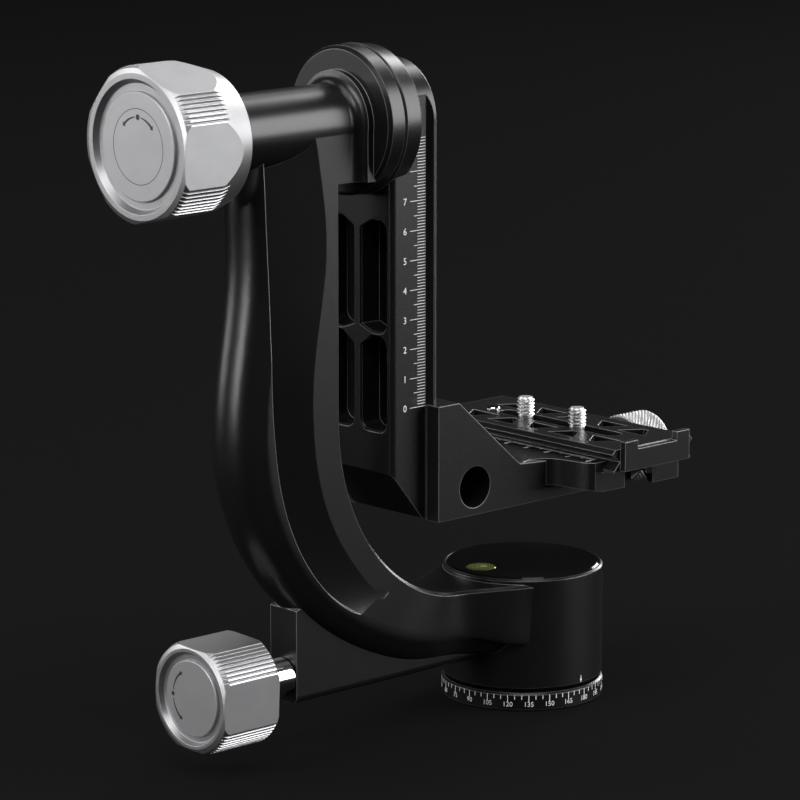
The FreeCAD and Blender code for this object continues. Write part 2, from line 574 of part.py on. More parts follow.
def knob(label, at, corners, radius, flat, flats, turn_angle, grooves, pitch, start, end):
    """A turned knob with flats, and a row of grooves on each stretch between them."""
    body = turned(label, at, corners, "H_Axis")
    sketch = flat_tool(new_sketch(body, "YZ_Plane", start), radius, flat, turn_angle)
    face = cut(body, sketch, "%s - (%s)" % (end, start), forward=True)
    repeat_round(body, face, "X_Axis", flats)
    grip_grooves(body, radius, grooves, pitch, flats, turn_angle, start, end)
    return body


knob("pan_knob", ("0", "0", "panLockZ"), [
    ("panKnobBackX", "lockThreadR"), ("panKnobBackX", "panKnobR - 0.8"),
    ("panKnobBackX - 0.8", "panKnobR"), ("panKnobFaceX + panKnobRimRound", "panKnobR"),
    ("panKnobFaceX + panKnobRimRound / 4", "panKnobR - panKnobRimRound / 3"),
    ("panKnobFaceX", "panKnobR - panKnobRimRound"), ("panKnobFaceX", "panKnobRimR"),
    ("panKnobRingX", "panKnobRimR - 1"), ("panKnobRingX", "lockThreadR + 2"),
    ("lockInsideX", "lockThreadR + 2"), ("lockInsideX", "lockThreadR")],
    "panKnobR", "panKnobFlat", "panKnobFlatCount", "panKnobFlatTurn", "panKnobGrooves",
    "panGroovePitch", "panKnobFaceX - 1", "panKnobBackX + 1")
turned("pan_knob_cap", ("0", "0", "panLockZ"), [
    ("panKnobCapX", "0"), ("panKnobCapX", "panKnobCapR - 0.3"), ("panKnobCapX + 0.3", "panKnobCapR"),
    ("panKnobRingX", "panKnobCapR"), ("panKnobRingX", "0")], "H_Axis")

# ---------------------------------------------------------------- tilt shaft and tilt lock

shaft = turned("tilt_shaft", ("0", "0", "tiltZ"), [
    ("shaftEndX", "0"), ("shaftEndX", "shaftThreadR - 0.6"), ("shaftEndX + 0.6", "shaftThreadR"),
    ("shaftThreadX", "shaftThreadR"), ("shaftThreadX", "shaftR"), ("shaftShoulderX", "shaftR"),
    ("shaftShoulderX", "shaftShoulderR"), ("shaftFlangeX", "shaftShoulderR"),
    ("shaftFlangeX", "shaftFlangeR"), ("shaftFlangeX + shaftFlangeT", "shaftFlangeR"),
    ("shaftFlangeX + shaftFlangeT", "0")], "H_Axis")
for radius, start in (("shaftScrewHeadR", "shaftFlangeX + 1.6"), ("shaftScrewR", "shaftFlangeX - 0.1")):
    hole = circle(new_sketch(shaft, "YZ_Plane", start), "0", "shaftScrewRing", radius)
    repeat_round(shaft, cut(shaft, hole, "10", forward=True), "X_Axis", "shaftScrewCount")

shaft_screws = new_body("tilt_shaft_screws", ("shaftFlangeX", "0", "tiltZ"))
for start, radius, length in (("1.6", "shaftScrewHeadR", "1.8"), ("-4.4", "shaftScrewR", "6.1")):
    sketch = circle(new_sketch(shaft_screws, "YZ_Plane", start), "0", "shaftScrewRing", radius)
    repeat_round(shaft_screws, pad(shaft_screws, sketch, length), "X_Axis", "shaftScrewCount")

inner_rings = new_body("tilt_bearing_inner_rings", ("leftBearingX", "0", "tiltZ"))
turn(inner_rings, rectangle("0", "shaftR", "tiltBearingT", "tiltInnerR"), "H_Axis")
repeat_along(inner_rings, inner_rings.Tip, "X_Axis", "rightBearingX - leftBearingX", "2")
outer_rings = new_body("tilt_bearing_outer_rings", ("leftBearingX", "0", "tiltZ"))
turn(outer_rings, [(up, across) for across, up in
                   outer_ring("tiltInnerR + ringGap", "tiltRaceR", "tiltBearingR", "tiltBearingT")],
     "H_Axis")
repeat_along(outer_rings, outer_rings.Tip, "X_Axis", "rightBearingX - leftBearingX", "2")
turned("tilt_spacer", ("leftBearingX + tiltBearingT", "0", "tiltZ"),
       rectangle("0", "shaftR", "rightBearingX - leftBearingX - tiltBearingT", "spacerR"), "H_Axis")
turned("friction_disc", ("discX", "0", "tiltZ"),
       rectangle("0", "discInnerR", "railFlangeX - discX", "discOuterR"), "H_Axis")
turned("tilt_pressure_ring", ("ringX", "0", "tiltZ"),
       rectangle("0", "ringBoreR", "ringT", "ringR"), "H_Axis")

knob("tilt_knob", ("0", "0", "tiltZ"), [
    ("knobCavityX", "knobInsertR"), ("knobCavityX", "knobCavityR"), ("knobBackX", "knobCavityR"),
    ("knobBackX", "knobSkirtR"), ("knobGripX", "knobR"), ("knobFaceX + knobRimRound", "knobR"),
    ("knobFaceX + knobRimRound / 4", "knobR - knobRimRound / 3"),
    ("knobFaceX", "knobR - knobRimRound"), ("knobFaceX", "knobRimR"),
    ("knobRingX", "knobRimR - 1.4"), ("knobRingX", "knobInsertR")],
    "knobR", "knobFlat", "knobFlatCount", "knobFlatTurn", "knobGrooves", "groovePitch",
    "knobFaceX - 1", "knobBackX + 1")
turned("tilt_knob_insert", ("0", "0", "tiltZ"), [
    ("knobInsertEndX", "0"), ("knobInsertEndX", "knobInsertR"), ("knobCavityX", "knobInsertR"),
    ("knobCavityX", "shaftThreadR + fitGap"), ("shaftEndX - 1", "shaftThreadR + fitGap"),
    ("shaftEndX - 1", "0")], "H_Axis")
turned("tilt_knob_cap", ("0", "0", "tiltZ"), [
    ("knobCapX", "0"), ("knobCapX", "knobCapR - 0.3"), ("knobCapX + 0.3", "knobCapR"),
    ("knobRingX", "knobCapR"), ("knobRingX", "0")], "H_Axis")

# ---------------------------------------------------------------- swing rail

rail = new_body("swing_rail")
pad(rail, polygon(new_sketch(rail, "XY_Plane", "railBottom"), [
    ("railFrontX", "-railHalf"), ("railFlareX", "-railHalf"),
    ("railBackX - railLip", "-railLipHalf"), ("railBackX", "-railLipHalf"),
    ("railBackX", "railLipHalf"), ("railBackX - railLip", "railLipHalf"),
    ("railFlareX", "railHalf"), ("railFrontX", "railHalf")]),
    "tiltZ + railLipHalf - railBottom")
round_edges(rail, "railRound", lambda edge: runs_along(edge, Vector(0, 0, 1))
            and edge.CenterOfMass.x < SIZES["railFrontX"] + 0.1)
crown = polygon(new_sketch(rail, "XZ_Plane", rise="tiltZ"),
                rectangle("railFrontX - 5", "railLipHalf", "railBackX + 5", "railLipHalf * 2.5"))
feature(rail, "Groove", crown, ReferenceAxis=(crown, ["H_Axis"]), Midplane=True, Angle=180.0)
toe = polygon(new_sketch(rail, "XZ_Plane"), [
    ("railFrontX - 1", "railBottom - 1"), ("railToeX", "railBottom - 1"), ("railToeX", "railBottom"),
    ("railToeMidX", "railToeMidZ"), ("railFrontX", "railToeTop"), ("railFrontX - 1", "railToeTop")])
cut(rail, toe, "railLipHalf * 3", midplane=True)
flange = polygon(new_sketch(rail, "XZ_Plane", rise="tiltZ"), [
    ("railFlangeX", "0"), ("railFlangeX", "railFlangeR - 0.4"), ("railFlangeX + 0.4", "railFlangeR"),
    ("railFlangeEndX - 0.6", "railFlangeR - railFlangeTaper + 0.2"),
    ("railFlangeEndX", "railFlangeR - railFlangeTaper - 0.4"), ("railFlangeEndX", "0")])
feature(rail, "Revolution", flange, ReferenceAxis=(flange, ["H_Axis"]), Angle=360.0)
for side in ("1", "-1"):
    inner, outer = side + " * pocketIn", side + " * pocketOut"
    slope = side + " * (pocketIn + pocketSlopeY)"
    for corners in (
            [(inner, "pocketBottom"), (outer, "pocketBottom"), (outer, "pocketSplitA"),
             (slope, "pocketSplitA"), (inner, "pocketSplitA - pocketSlopeLow")],
            [(inner, "pocketSplitB + pocketSlopeMid"), (slope, "pocketSplitB"), (outer, "pocketSplitB"),
             (outer, "pocketTop"), (slope, "pocketTop"), (inner, "pocketTop - pocketSlopeTop")]):
        cut(rail, polygon(new_sketch(rail, "YZ_Plane", "railFrontX"), corners), "pocketDepth", forward=True)


def pocket_corner(edge):
    """True for an upright corner of a pocket that is rounded: all but those beside a slope."""
    middle = edge.CenterOfMass
    slope_side = abs(middle.y) < SIZES["pocketIn"] + SIZES["pocketSlopeY"] + 0.1
    sloped = slope_side and middle.z > SIZES["pocketBottom"] + 0.1
    inside = SIZES["pocketBottom"] - 0.1 < middle.z < SIZES["pocketTop"] + 0.1
    return runs_along(edge, Vector(1, 0, 0)) and inside and not sloped


def pocket_rim(edge):
    """True for an edge where a pocket opens in the front face."""
    box = edge.BoundBox
    return (box.XMax < SIZES["railFrontX"] + 0.1 and abs(edge.CenterOfMass.y) < SIZES["pocketOut"] + 0.1
            and SIZES["pocketBottom"] - 0.1 < box.ZMin and box.ZMax < SIZES["pocketTop"] + 0.1)


round_edges(rail, "pocketRound", pocket_corner)
round_edges(rail, "pocketBevel", pocket_rim, "Chamfer")
for start, radius, length in (("shaftFlangeX", "shaftFlangeR", "10"),
                              ("railFlangeX - 1", "shaftShoulderR", "30"),
                              ("railFlangeX - 1", "discInnerR - 2", "2.2")):
    cut(rail, circle(new_sketch(rail, "YZ_Plane", start), "0", "tiltZ", radius), length, forward=True)
tapped = circle(new_sketch(rail, "YZ_Plane", "railBackX"), "0", "stopScrewZ", "stopScrewR")
cut(rail, tapped, "4.5")
axes = ("0", "shaftScrewRing"), ("shaftScrewRing * sin(120)", "shaftScrewRing * cos(120)"), \
    ("-shaftScrewRing * sin(120)", "shaftScrewRing * cos(120)")
for across, up in axes:
    tapped = circle(new_sketch(rail, "YZ_Plane", "shaftFlangeX"), across, "tiltZ + " + up, "shaftScrewR")
    cut(rail, tapped, "4.6")

turned("rail_stop_screw", ("railBackX", "0", "stopScrewZ"), [
    ("-4", "0"), ("-4", "stopScrewR"), ("0", "stopScrewR"), ("0", "stopHeadR"),
    ("stopHeadT - 0.5", "stopHeadR"), ("stopHeadT", "stopHeadR - 0.6"), ("stopHeadT", "0")], "H_Axis")

# ---------------------------------------------------------------- lens bracket

bracket = new_body("bracket")
gusset = polygon(new_sketch(bracket, "XZ_Plane"), [
    ("bracketFrontX", "bracketBottom"), ("bedEndX", "bracketBottom"), ("bedEndX", "bedFloor"),
    ("gussetToeX + 1.8", "bedTop"), ("gussetToeX", "gussetToeZ"), ("gussetTopX", "bracketTop"),
    ("bracketFrontX", "bracketTop")])
pad(bracket, gusset, "bracketHalf * 2", midplane=True)


def wing_curve(side):
    """Open curve of the wing's edge, as a spline through its plan points."""
    spline = Part.BSplineCurve()
    spline.interpolate([Vector(x, side * y, 0) for x, y in WING_CURVE])
    return spline


def wing_outline(sketch):
    """Plan of both wings and the bed between them."""
    curves = [wing_curve(side) for side in (-1, 1)]
    corner_x, far_x = WING_CURVE[-1][0], SIZES["plateX"] - 8
    half = SIZES["bedHalf"]
    last = WING_CURVE[-1][1]
    first = Vector(WING_CURVE[0][0], WING_CURVE[0][1], 0)
    for side, curve in zip((-1, 1), curves):
        sketch.addGeometry(curve, False)
        tip = Vector(corner_x, side * last, 0)
        turn_end = Vector(corner_x + 1.6, side * half, 0)
        edge_end = Vector(far_x, side * half, 0)
        root = Vector(far_x, 0, 0)
        for a, b in ((tip, turn_end), (turn_end, edge_end), (edge_end, root)):
            sketch.addGeometry(Part.LineSegment(a, b), False)
    sketch.addGeometry(Part.LineSegment(Vector(first.x, -first.y, 0), first), False)
    return sketch


pad(bracket, wing_outline(new_sketch(bracket, "XY_Plane", "wingBottom")), "bedTop - wingBottom")
for start in ("bracketHalf", "-bedHalf - 1"):
    arch = circle(new_sketch(bracket, "XZ_Plane", "-(%s)" % start), "archX", "archZ", "archR")
    cut(bracket, arch, "bedHalf + 1 - bracketHalf")
bed = polygon(new_sketch(bracket, "XZ_Plane"), [
    ("plateX - plateHalf - railClear", "bedFloor"),
    ("plateX - plateHalf - railClear", "plateBottom + plateFootT + railClear"),
    ("plateX - waistHalf - jawNose", "bedTop"), ("plateX - waistHalf - jawNose", "bedTop + 1"),
    ("bedEndX + 1", "bedTop + 1"), ("bedEndX + 1", "bedFloor")])
cut(bracket, bed, "bedHalf * 2 + 1", midplane=True)
keyway = polygon(new_sketch(bracket, "XZ_Plane"), rectangle(
    "plateX - grooveHalf", "bedFloor - grooveDeep", "plateX + grooveHalf", "bedFloor + 1"))
cut(bracket, keyway, "bedHalf * 2 + 1", midplane=True)
channel = polygon(new_sketch(bracket, "XY_Plane", "bracketBottom"), [
    ("bracketFrontX - 1", "-channelFrontHalf"), ("bracketFrontX", "-channelFrontHalf"),
    ("railBackX - railLip", "-channelLipHalf"), ("railBackX + railClear", "-channelBackHalf"),
    ("railBackX + railClear", "channelBackHalf"), ("railBackX - railLip", "channelLipHalf"),
    ("bracketFrontX", "channelFrontHalf"), ("bracketFrontX - 1", "channelFrontHalf")])
cut(bracket, channel, "bracketTop - bracketBottom + 1", forward=True)
relief = polygon(new_sketch(bracket, "YZ_Plane", "railBackX"), rectangle(
    "-stopHeadR - stopClear", "bracketBottom - 1", "stopHeadR + stopClear",
    "stopScrewZ + stopHeadR + stopClear"))
cut(bracket, relief, "stopHeadT + stopClear", forward=True)
jaw_seat = polygon(new_sketch(bracket, "XY_Plane", "railJawBottom - slideClear"), rectangle(
    "bracketFrontX - 1", "railJawInner - slideClear", "railJawX + slideClear", "bracketHalf + 1"))
cut(bracket, jaw_seat, "railJawTop - railJawBottom + 2 * slideClear", forward=True)
cut(bracket, circle(new_sketch(bracket, "XZ_Plane"), "gussetHoleX", "gussetHoleZ", "gussetHoleR"),
    "bracketHalf * 2 + 1", midplane=True)
screw_hole = circle(new_sketch(bracket, "XZ_Plane", "0"), "railKnobX", "railKnobZ", "railScrewR + fitGap")
cut(bracket, screw_hole, "bracketHalf + 1")
clamp_hole = circle(new_sketch(bracket, "YZ_Plane", "4"), "0", "plateKnobZ", "clampScrewR + fitGap")
cut(bracket, clamp_hole, "bedEndX", forward=True)
for side in ("pinY", "-pinY"):
    pin_hole = circle(new_sketch(bracket, "YZ_Plane", "bedEndX - pinLength + 4"), side,
                      "plateKnobZ", "pinR + fitGap")
    cut(bracket, pin_hole, "pinLength", forward=True)

rail_jaw = new_body("rail_jaw")
pad(rail_jaw, polygon(new_sketch(rail_jaw, "XY_Plane", "railJawBottom"), [
    ("bracketFrontX", "channelFrontHalf"), ("railBackX - railLip", "channelLipHalf"),
    ("railBackX + railClear", "channelBackHalf"), ("railBackX + railClear", "railJawInner"),
    ("railJawX", "railJawInner"), ("railJawX", "bracketHalf"), ("bracketFrontX", "bracketHalf")]),
    "railJawTop - railJawBottom")
cut(rail_jaw, circle(new_sketch(rail_jaw, "XZ_Plane"), "railKnobX", "railKnobZ", "railScrewR + 0.3"),
    "bracketHalf + 1", forward=False)


def small_knob(label, at, radius, length, bore, along_y=False):
    """A short round knob with a stepped back and bevelled rims."""
    neck, rim = radius + " - smallKnobStep", radius + " - smallKnobBevel"
    corners = [("0", bore), ("0", neck), ("smallKnobNeckT", neck), ("smallKnobNeckT", rim),
               ("smallKnobNeckT + smallKnobBevel", radius), (length + " - smallKnobBevel", radius),
               (length, rim), (length, bore)]
    if along_y:
        return turned(label, at, [(across, up) for up, across in corners], "V_Axis")
    return turned(label, at, corners, "H_Axis")


def lay_along_y(body):
    """Turns a body made about Z so that it points along +Y."""
    body.Placement = FreeCAD.Placement(body.Placement.Base, FreeCAD.Rotation(Vector(1, 0, 0), -90))


rail_knob = small_knob("rail_knob", ("railKnobX", "bracketHalf + 0.4", "railKnobZ"), "railKnobR",
                       "railKnobT", "railScrewR", along_y=True)
rail_screw = turned("rail_knob_screw", ("railKnobX", "6", "railKnobZ"), [
    ("0", "0"), ("railScrewR", "0"), ("railScrewR", "bracketHalf + railKnobT - 5.2"),
    ("0", "bracketHalf + railKnobT - 5.2")])
for item in (rail_knob, rail_screw):
    lay_along_y(item)

# ---------------------------------------------------------------- plate clamp jaw

plate_jaw = new_body("plate_jaw")
pad(plate_jaw, polygon(new_sketch(plate_jaw, "XZ_Plane"), [
    ("bedEndX + jawGap", "wingBottom - 3"), ("jawEndX", "wingBottom - 3"), ("jawEndX", "bedTop"),
    ("plateX + waistHalf + jawNose", "bedTop"),
    ("plateX + plateHalf + railClear", "plateBottom + plateFootT + railClear"),
    ("plateX + plateHalf + railClear", "bedFloor"), ("bedEndX + jawGap", "bedFloor")]),
    "jawHalf * 2", midplane=True)
for side in ("1", "-1"):
    scallop = circle(new_sketch(plate_jaw, "YZ_Plane", "bedEndX"), side + " * 24", "wingBottom - 6", "7.5")
    cut(plate_jaw, scallop, "30", forward=True)
cut(plate_jaw, circle(new_sketch(plate_jaw, "YZ_Plane", "bedEndX"), "0", "plateKnobZ", "clampScrewR + 0.3"),
    "30", forward=True)
jaw_pins = new_body("plate_jaw_pins", ("bedEndX - pinLength + 5", "0", "plateKnobZ"))
for side in ("pinY", "-pinY"):
    pad(jaw_pins, circle(new_sketch(jaw_pins, "YZ_Plane"), side, "0", "pinR"), "pinLength - 4.1")
small_knob("plate_knob", ("plateKnobX", "0", "plateKnobZ"), "plateKnobR", "plateKnobT", "clampScrewR")
turned("plate_knob_screw", ("plateX - 8", "0", "plateKnobZ"),
       rectangle("0", "0", "plateKnobX - plateX + plateKnobT + 4", "clampScrewR"), "H_Axis")

# ---------------------------------------------------------------- quick-release plate

plate = new_body("quick_release_plate", ("plateX", "0", "0"))
pad(plate, polygon(new_sketch(plate, "XZ_Plane"), [
    ("-plateHalf", "plateBottom"), ("plateHalf", "plateBottom"),
    ("plateHalf", "plateBottom + plateFootT"), ("waistHalf", "waistZ"),
    ("plateFlangeHalf - 1.2", "plateTop - plateTopBevel - 0.9"),
    ("plateFlangeHalf", "plateTop - plateTopBevel"),
    ("plateFlangeHalf - plateTopBevel", "plateTop"), ("plateTopBevel - plateFlangeHalf", "plateTop"),
    ("-plateFlangeHalf", "plateTop - plateTopBevel"),
    ("1.2 - plateFlangeHalf", "plateTop - plateTopBevel - 0.9"), ("-waistHalf", "waistZ"),
    ("-plateHalf", "plateBottom + plateFootT")]), "plateLength * 2", midplane=True)
pad(plate, polygon(new_sketch(plate, "XZ_Plane", "plateLength"), [
    ("-lipHalf", "lipBottom"), ("lipHalf", "lipBottom"), ("lipHalf", "lipTop"),
    ("lipHalf - lipTab", "lipTop"), ("lipHalf - lipTab", "lipRecess"),
    ("lipTab - lipHalf", "lipRecess"), ("lipTab - lipHalf", "lipTop"), ("-lipHalf", "lipTop")]),
    "plateLipT")


def long_slot(body, top, half, low, high):
    """A slot with round ends along Y: a rectangle and a circle at each end."""
    sketches = [polygon(new_sketch(body, "XY_Plane", top), rectangle("-" + half, low, half, high))]
    sketches += [circle(new_sketch(body, "XY_Plane", top), "0", end, half) for end in (low, high)]
    return sketches


for top, half in (("plateTop", "slotHalf"), ("slotWideTop", "slotWideHalf")):
    for sketch in long_slot(plate, top, half, "slotFrom + slotHalf", "slotTo - slotHalf"):
        cut(plate, sketch, "20")
for side in ("1", "-1"):
    for k in range(-2, 3):
        middle = "trussPitch * (%d)" % k
        tip, base_line = ("trussIn", "trussOut") if k % 2 else ("trussOut", "trussIn")
        truss = polygon(new_sketch(plate, "XY_Plane", "plateTop"), [
            ("%s * %s" % (side, base_line), middle + " - trussHalf"),
            ("%s * %s" % (side, tip), middle + " - trussHalf * 0.18"),
            ("%s * %s" % (side, tip), middle + " + trussHalf * 0.18"),
            ("%s * %s" % (side, base_line), middle + " + trussHalf")])
        cut(plate, truss, "trussDepth")
cut(plate, circle(new_sketch(plate, "XY_Plane", "plateTop"), "0.5", "locatorY", "locatorR"),
    "plateTop - locatorBottom")
for side in ("safetyY", "-safetyY"):
    tapped = circle(new_sketch(plate, "XY_Plane", "plateBottom"), "0", side, "safetyR")
    cut(plate, tapped, "safetyDepth + 0.4", forward=True)

turned("locating_pin", ("plateX + 0.5", "locatorY", "locatorBottom"), [
    ("0", "0"), ("locatorR", "0"), ("locatorR", "locatorTop - locatorBottom - 0.4"),
    ("locatorR - 0.4", "locatorTop - locatorBottom"), ("0", "locatorTop - locatorBottom")])
safety = new_body("plate_stop_screws", ("plateX", "0", "plateBottom"))
for side in ("safetyY", "-safetyY"):
    head = circle(new_sketch(safety, "XY_Plane", "-safetyHeadT"), "0", side, "safetyHeadR")
    pad(safety, head, "safetyHeadT")
    shank = circle(new_sketch(safety, "XY_Plane", "-safetyHeadT / 2"), "0", side, "safetyR")
    pad(safety, shank, "safetyHeadT / 2 + safetyDepth")


def camera_screw(name, along):
    """A captive 1/4 inch screw with a knurl-free head, and the washer that carries it."""
    turned(name + "_camera_screw", ("plateX", along, "0"), [
        ("0", "cameraHeadZ"), ("cameraHeadR", "cameraHeadZ"), ("cameraHeadR", "cameraHeadZ + cameraHeadT"),
        ("cameraNeckR", "cameraHeadZ + cameraHeadT"), ("cameraNeckR", "plateTop + 0.1"),
        ("cameraR", "plateTop + 0.1"), ("cameraR", "cameraTop - 0.6"),
        ("cameraR - 0.6", "cameraTop"), ("0", "cameraTop")])
    turned(name + "_screw_washer", ("plateX", along, "slotWasherZ"),
           rectangle("cameraNeckR + fitGap", "0", "slotWasherR", "slotWasherT"))


camera_screw("front", "frontScrewY")
camera_screw("rear", "rearScrewY")

# ---------------------------------------------------------------- checks and files

document.recompute()
for item in document.Objects:
    if "Invalid" in item.State or "Error" in item.State:
        raise RuntimeError("%s did not build" % item.Label)
for item in subparts:
    if item.Shape.isNull() or not item.Shape.isValid():
        raise RuntimeError("%s has no valid shape" % item.Label)

os.makedirs("parts", exist_ok=True)
for item in subparts:
    item.Shape.exportStep("parts/%s.step" % item.Label)
    print("%-26s %2d solids %9.1f mm3" % (item.Label, len(item.Shape.Solids), item.Shape.Volume))
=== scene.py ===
import math
import bpy
import numpy as np
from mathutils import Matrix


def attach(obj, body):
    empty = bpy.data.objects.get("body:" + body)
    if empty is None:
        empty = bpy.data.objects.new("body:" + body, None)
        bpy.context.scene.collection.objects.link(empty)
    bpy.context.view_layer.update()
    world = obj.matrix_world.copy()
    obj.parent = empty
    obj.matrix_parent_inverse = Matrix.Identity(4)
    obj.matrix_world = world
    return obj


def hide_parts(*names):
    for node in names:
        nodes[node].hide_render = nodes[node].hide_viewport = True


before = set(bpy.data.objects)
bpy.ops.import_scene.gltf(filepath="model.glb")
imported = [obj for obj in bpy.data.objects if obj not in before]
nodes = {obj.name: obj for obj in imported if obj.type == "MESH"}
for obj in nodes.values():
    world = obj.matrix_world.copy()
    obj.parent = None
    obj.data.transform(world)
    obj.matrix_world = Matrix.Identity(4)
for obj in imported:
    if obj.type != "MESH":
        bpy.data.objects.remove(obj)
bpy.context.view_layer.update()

# Gimbal tripod head. Metres, +Z up along the pan axis, +X along the tilt axis towards the cradle.
mm = 0.001
print("frame loaded:", len(nodes), "nodes")


# Materials

def startMaterial(name):
    material = bpy.data.materials.new(name)
    material.use_nodes = True
    tree = material.node_tree
    coords = tree.nodes.new("ShaderNodeTexCoord")
    return material, tree, tree.nodes["Principled BSDF"], coords.outputs["Object"]


def noiseOf(tree, coords, width, detail=2.0):
    # cloudy values from 0 to 1 in lumps about width across
    mapping = tree.nodes.new("ShaderNodeMapping")
    mapping.inputs["Scale"].default_value = [1 / width] * 3
    noise = tree.nodes.new("ShaderNodeTexNoise")
    noise.inputs["Scale"].default_value = 1.0
    noise.inputs["Detail"].default_value = detail
    tree.links.new(coords, mapping.inputs["Vector"])
    tree.links.new(mapping.outputs["Vector"], noise.inputs["Vector"])
    return noise.outputs["Fac"]


def spread(tree, value, low, high, start=0.25, end=0.75):
    # maps a value that runs from start to end to low up to high, and holds it there beyond
    ranger = tree.nodes.new("ShaderNodeMapRange")
    ranger.inputs["From Min"].default_value = start
    ranger.inputs["From Max"].default_value = end
    ranger.inputs["To Min"].default_value = low
    ranger.inputs["To Max"].default_value = high
    tree.links.new(value, ranger.inputs["Value"])
    return ranger.outputs["Result"]


def layOver(tree, value, below, above):
    # the colour above where value is 1, over a colour or another node's colour where it is 0
    mix = tree.nodes.new("ShaderNodeMix")
    mix.data_type = "RGBA"
    mix.inputs["B"].default_value = (*above, 1)
    if isinstance(below, bpy.types.NodeSocket):
        tree.links.new(below, mix.inputs["A"])
    else:
        mix.inputs["A"].default_value = (*below, 1)
    tree.links.new(value, mix.inputs["Factor"])
    return mix.outputs["Result"]


def raised(tree, height, depth, shader, under=None):
    # bump of depth metres for a height that runs from 0 to 1, over the under normal
    bump = tree.nodes.new("ShaderNodeBump")
    bump.inputs["Distance"].default_value = depth
    tree.links.new(height, bump.inputs["Height"])
    if under is not None:
        tree.links.new(under, bump.inputs["Normal"])
    tree.links.new(bump.outputs["Normal"], shader.inputs["Normal"])


def easedEdges(tree, radius, samples=8, edgeFull=0.88, edgeNone=0.985):
    # a normal that turns softly over every edge, and a value that is 1 on the edges:
    # the dot product of the soft and the plain normal falls below edgeNone there
    eased = tree.nodes.new("ShaderNodeBevel")
    eased.samples = samples
    eased.inputs["Radius"].default_value = radius
    plain = tree.nodes.new("ShaderNodeNewGeometry")
    likeness = tree.nodes.new("ShaderNodeVectorMath")
    likeness.operation = "DOT_PRODUCT"
    tree.links.new(eased.outputs["Normal"], likeness.inputs[0])
    tree.links.new(plain.outputs["Normal"], likeness.inputs[1])
    return eased.outputs["Normal"], spread(tree, likeness.outputs["Value"], 1, 0, edgeFull, edgeNone)


def blastedMetal(name, look):
    # metal or moulding after bead blasting: fine pits, cloudy sheen, and lighter edges that are partly
    # machined finish and partly painted highlight
    material, tree, shader, coords = startMaterial(name)
    cloud = noiseOf(tree, coords, look["cloudWidth"])
    pits = noiseOf(tree, coords, look["pitWidth"], detail=3.0)
    colour = layOver(tree, spread(tree, cloud, 0, 1), look["colour"], look["cloudColour"])
    under = None
    if look["easedEdge"]:
        under, edgeFinishAndHighlightMask = easedEdges(tree, look["easedEdge"])
        # lighter colour over every edge: partly the machined edges' own finish, partly a painted highlight
        colour = layOver(tree, edgeFinishAndHighlightMask, colour, look["edgeFinishAndHighlight"])
    tree.links.new(colour, shader.inputs["Base Color"])
    tree.links.new(spread(tree, pits, *look["roughness"]), shader.inputs["Roughness"])
    raised(tree, pits, look["pitDepth"], shader, under)
    shader.inputs["Metallic"].default_value = look["metallic"]
    shader.inputs["IOR"].default_value = look["ior"]
    return material


blackLook = {"colour": (0.0044, 0.0045, 0.0047), "cloudColour": (0.0056, 0.0057, 0.0059),
             "cloudWidth": 14 * mm, "pitWidth": 0.22 * mm, "pitDepth": 0.004 * mm,
             "roughness": (0.26, 0.33), "metallic": 0.0, "ior": 1.44,
             "easedEdge": 0.45 * mm, "edgeFinishAndHighlight": (0.19, 0.19, 0.195)}
railLook = {**blackLook, "colour": (0.0050, 0.0051, 0.0054), "cloudColour": (0.0062, 0.0063, 0.0066),
            "roughness": (0.25, 0.32), "pitDepth": 0.003 * mm, "ior": 1.42}
silverLook = {"colour": (0.37, 0.37, 0.38), "cloudColour": (0.41, 0.41, 0.42), "cloudWidth": 9 * mm,
              "pitWidth": 0.25 * mm, "pitDepth": 0.010 * mm, "roughness": (0.38, 0.47),
              "metallic": 1.0, "ior": 1.5, "easedEdge": 0.20 * mm, "edgeFinishAndHighlight": (0.62, 0.62, 0.63)}
faceLook = {**silverLook, "colour": (0.40, 0.40, 0.41), "cloudColour": (0.43, 0.43, 0.44),
            "roughness": (0.44, 0.52), "pitDepth": 0.014 * mm}
steelLook = {"colour": (0.47, 0.47, 0.48), "cloudColour": (0.54, 0.54, 0.55), "cloudWidth": 4 * mm,
             "pitWidth": 0.5 * mm, "pitDepth": 0.001 * mm, "roughness": (0.16, 0.26),
             "metallic": 1.0, "ior": 1.5, "easedEdge": 0.0}
chromeLook = {**steelLook, "colour": (0.74, 0.74, 0.75), "cloudColour": (0.80, 0.80, 0.81),
              "roughness": (0.08, 0.14)}
brassLook = {**steelLook, "colour": (0.60, 0.43, 0.17), "cloudColour": (0.52, 0.36, 0.13),
             "roughness": (0.24, 0.34)}
polymerLook = {"colour": (0.020, 0.020, 0.021), "cloudColour": (0.030, 0.030, 0.031),
               "cloudWidth": 3 * mm, "pitWidth": 0.3 * mm, "pitDepth": 0.006 * mm,
               "roughness": (0.50, 0.62), "metallic": 0.0, "ior": 1.45, "easedEdge": 0.0}
blackAnodised = blastedMetal("blackAnodised", blackLook)
railAnodised = blastedMetal("railAnodised", railLook)
silverAnodised = blastedMetal("silverAnodised", silverLook)
knobFace = blastedMetal("knobFace", faceLook)
brightSteel = blastedMetal("brightSteel", steelLook)
chromePlate = blastedMetal("chromePlate", chromeLook)
screwPlate = blastedMetal("screwPlate", {**chromeLook, "roughness": (0.34, 0.42)})
brassMetal = blastedMetal("brassMetal", brassLook)
blackPolymer = blastedMetal("blackPolymer", polymerLook)

whiteLook = {"colour": (0.78, 0.78, 0.76), "cloudColour": (0.6396, 0.6396, 0.6232),
             "cloudWidth": 0.6 * mm, "roughness": (0.39, 0.51)}
inkLook = {"colour": (0.012, 0.012, 0.012), "cloudColour": (0.00984, 0.00984, 0.00984),
           "cloudWidth": 0.6 * mm, "roughness": (0.34, 0.46)}


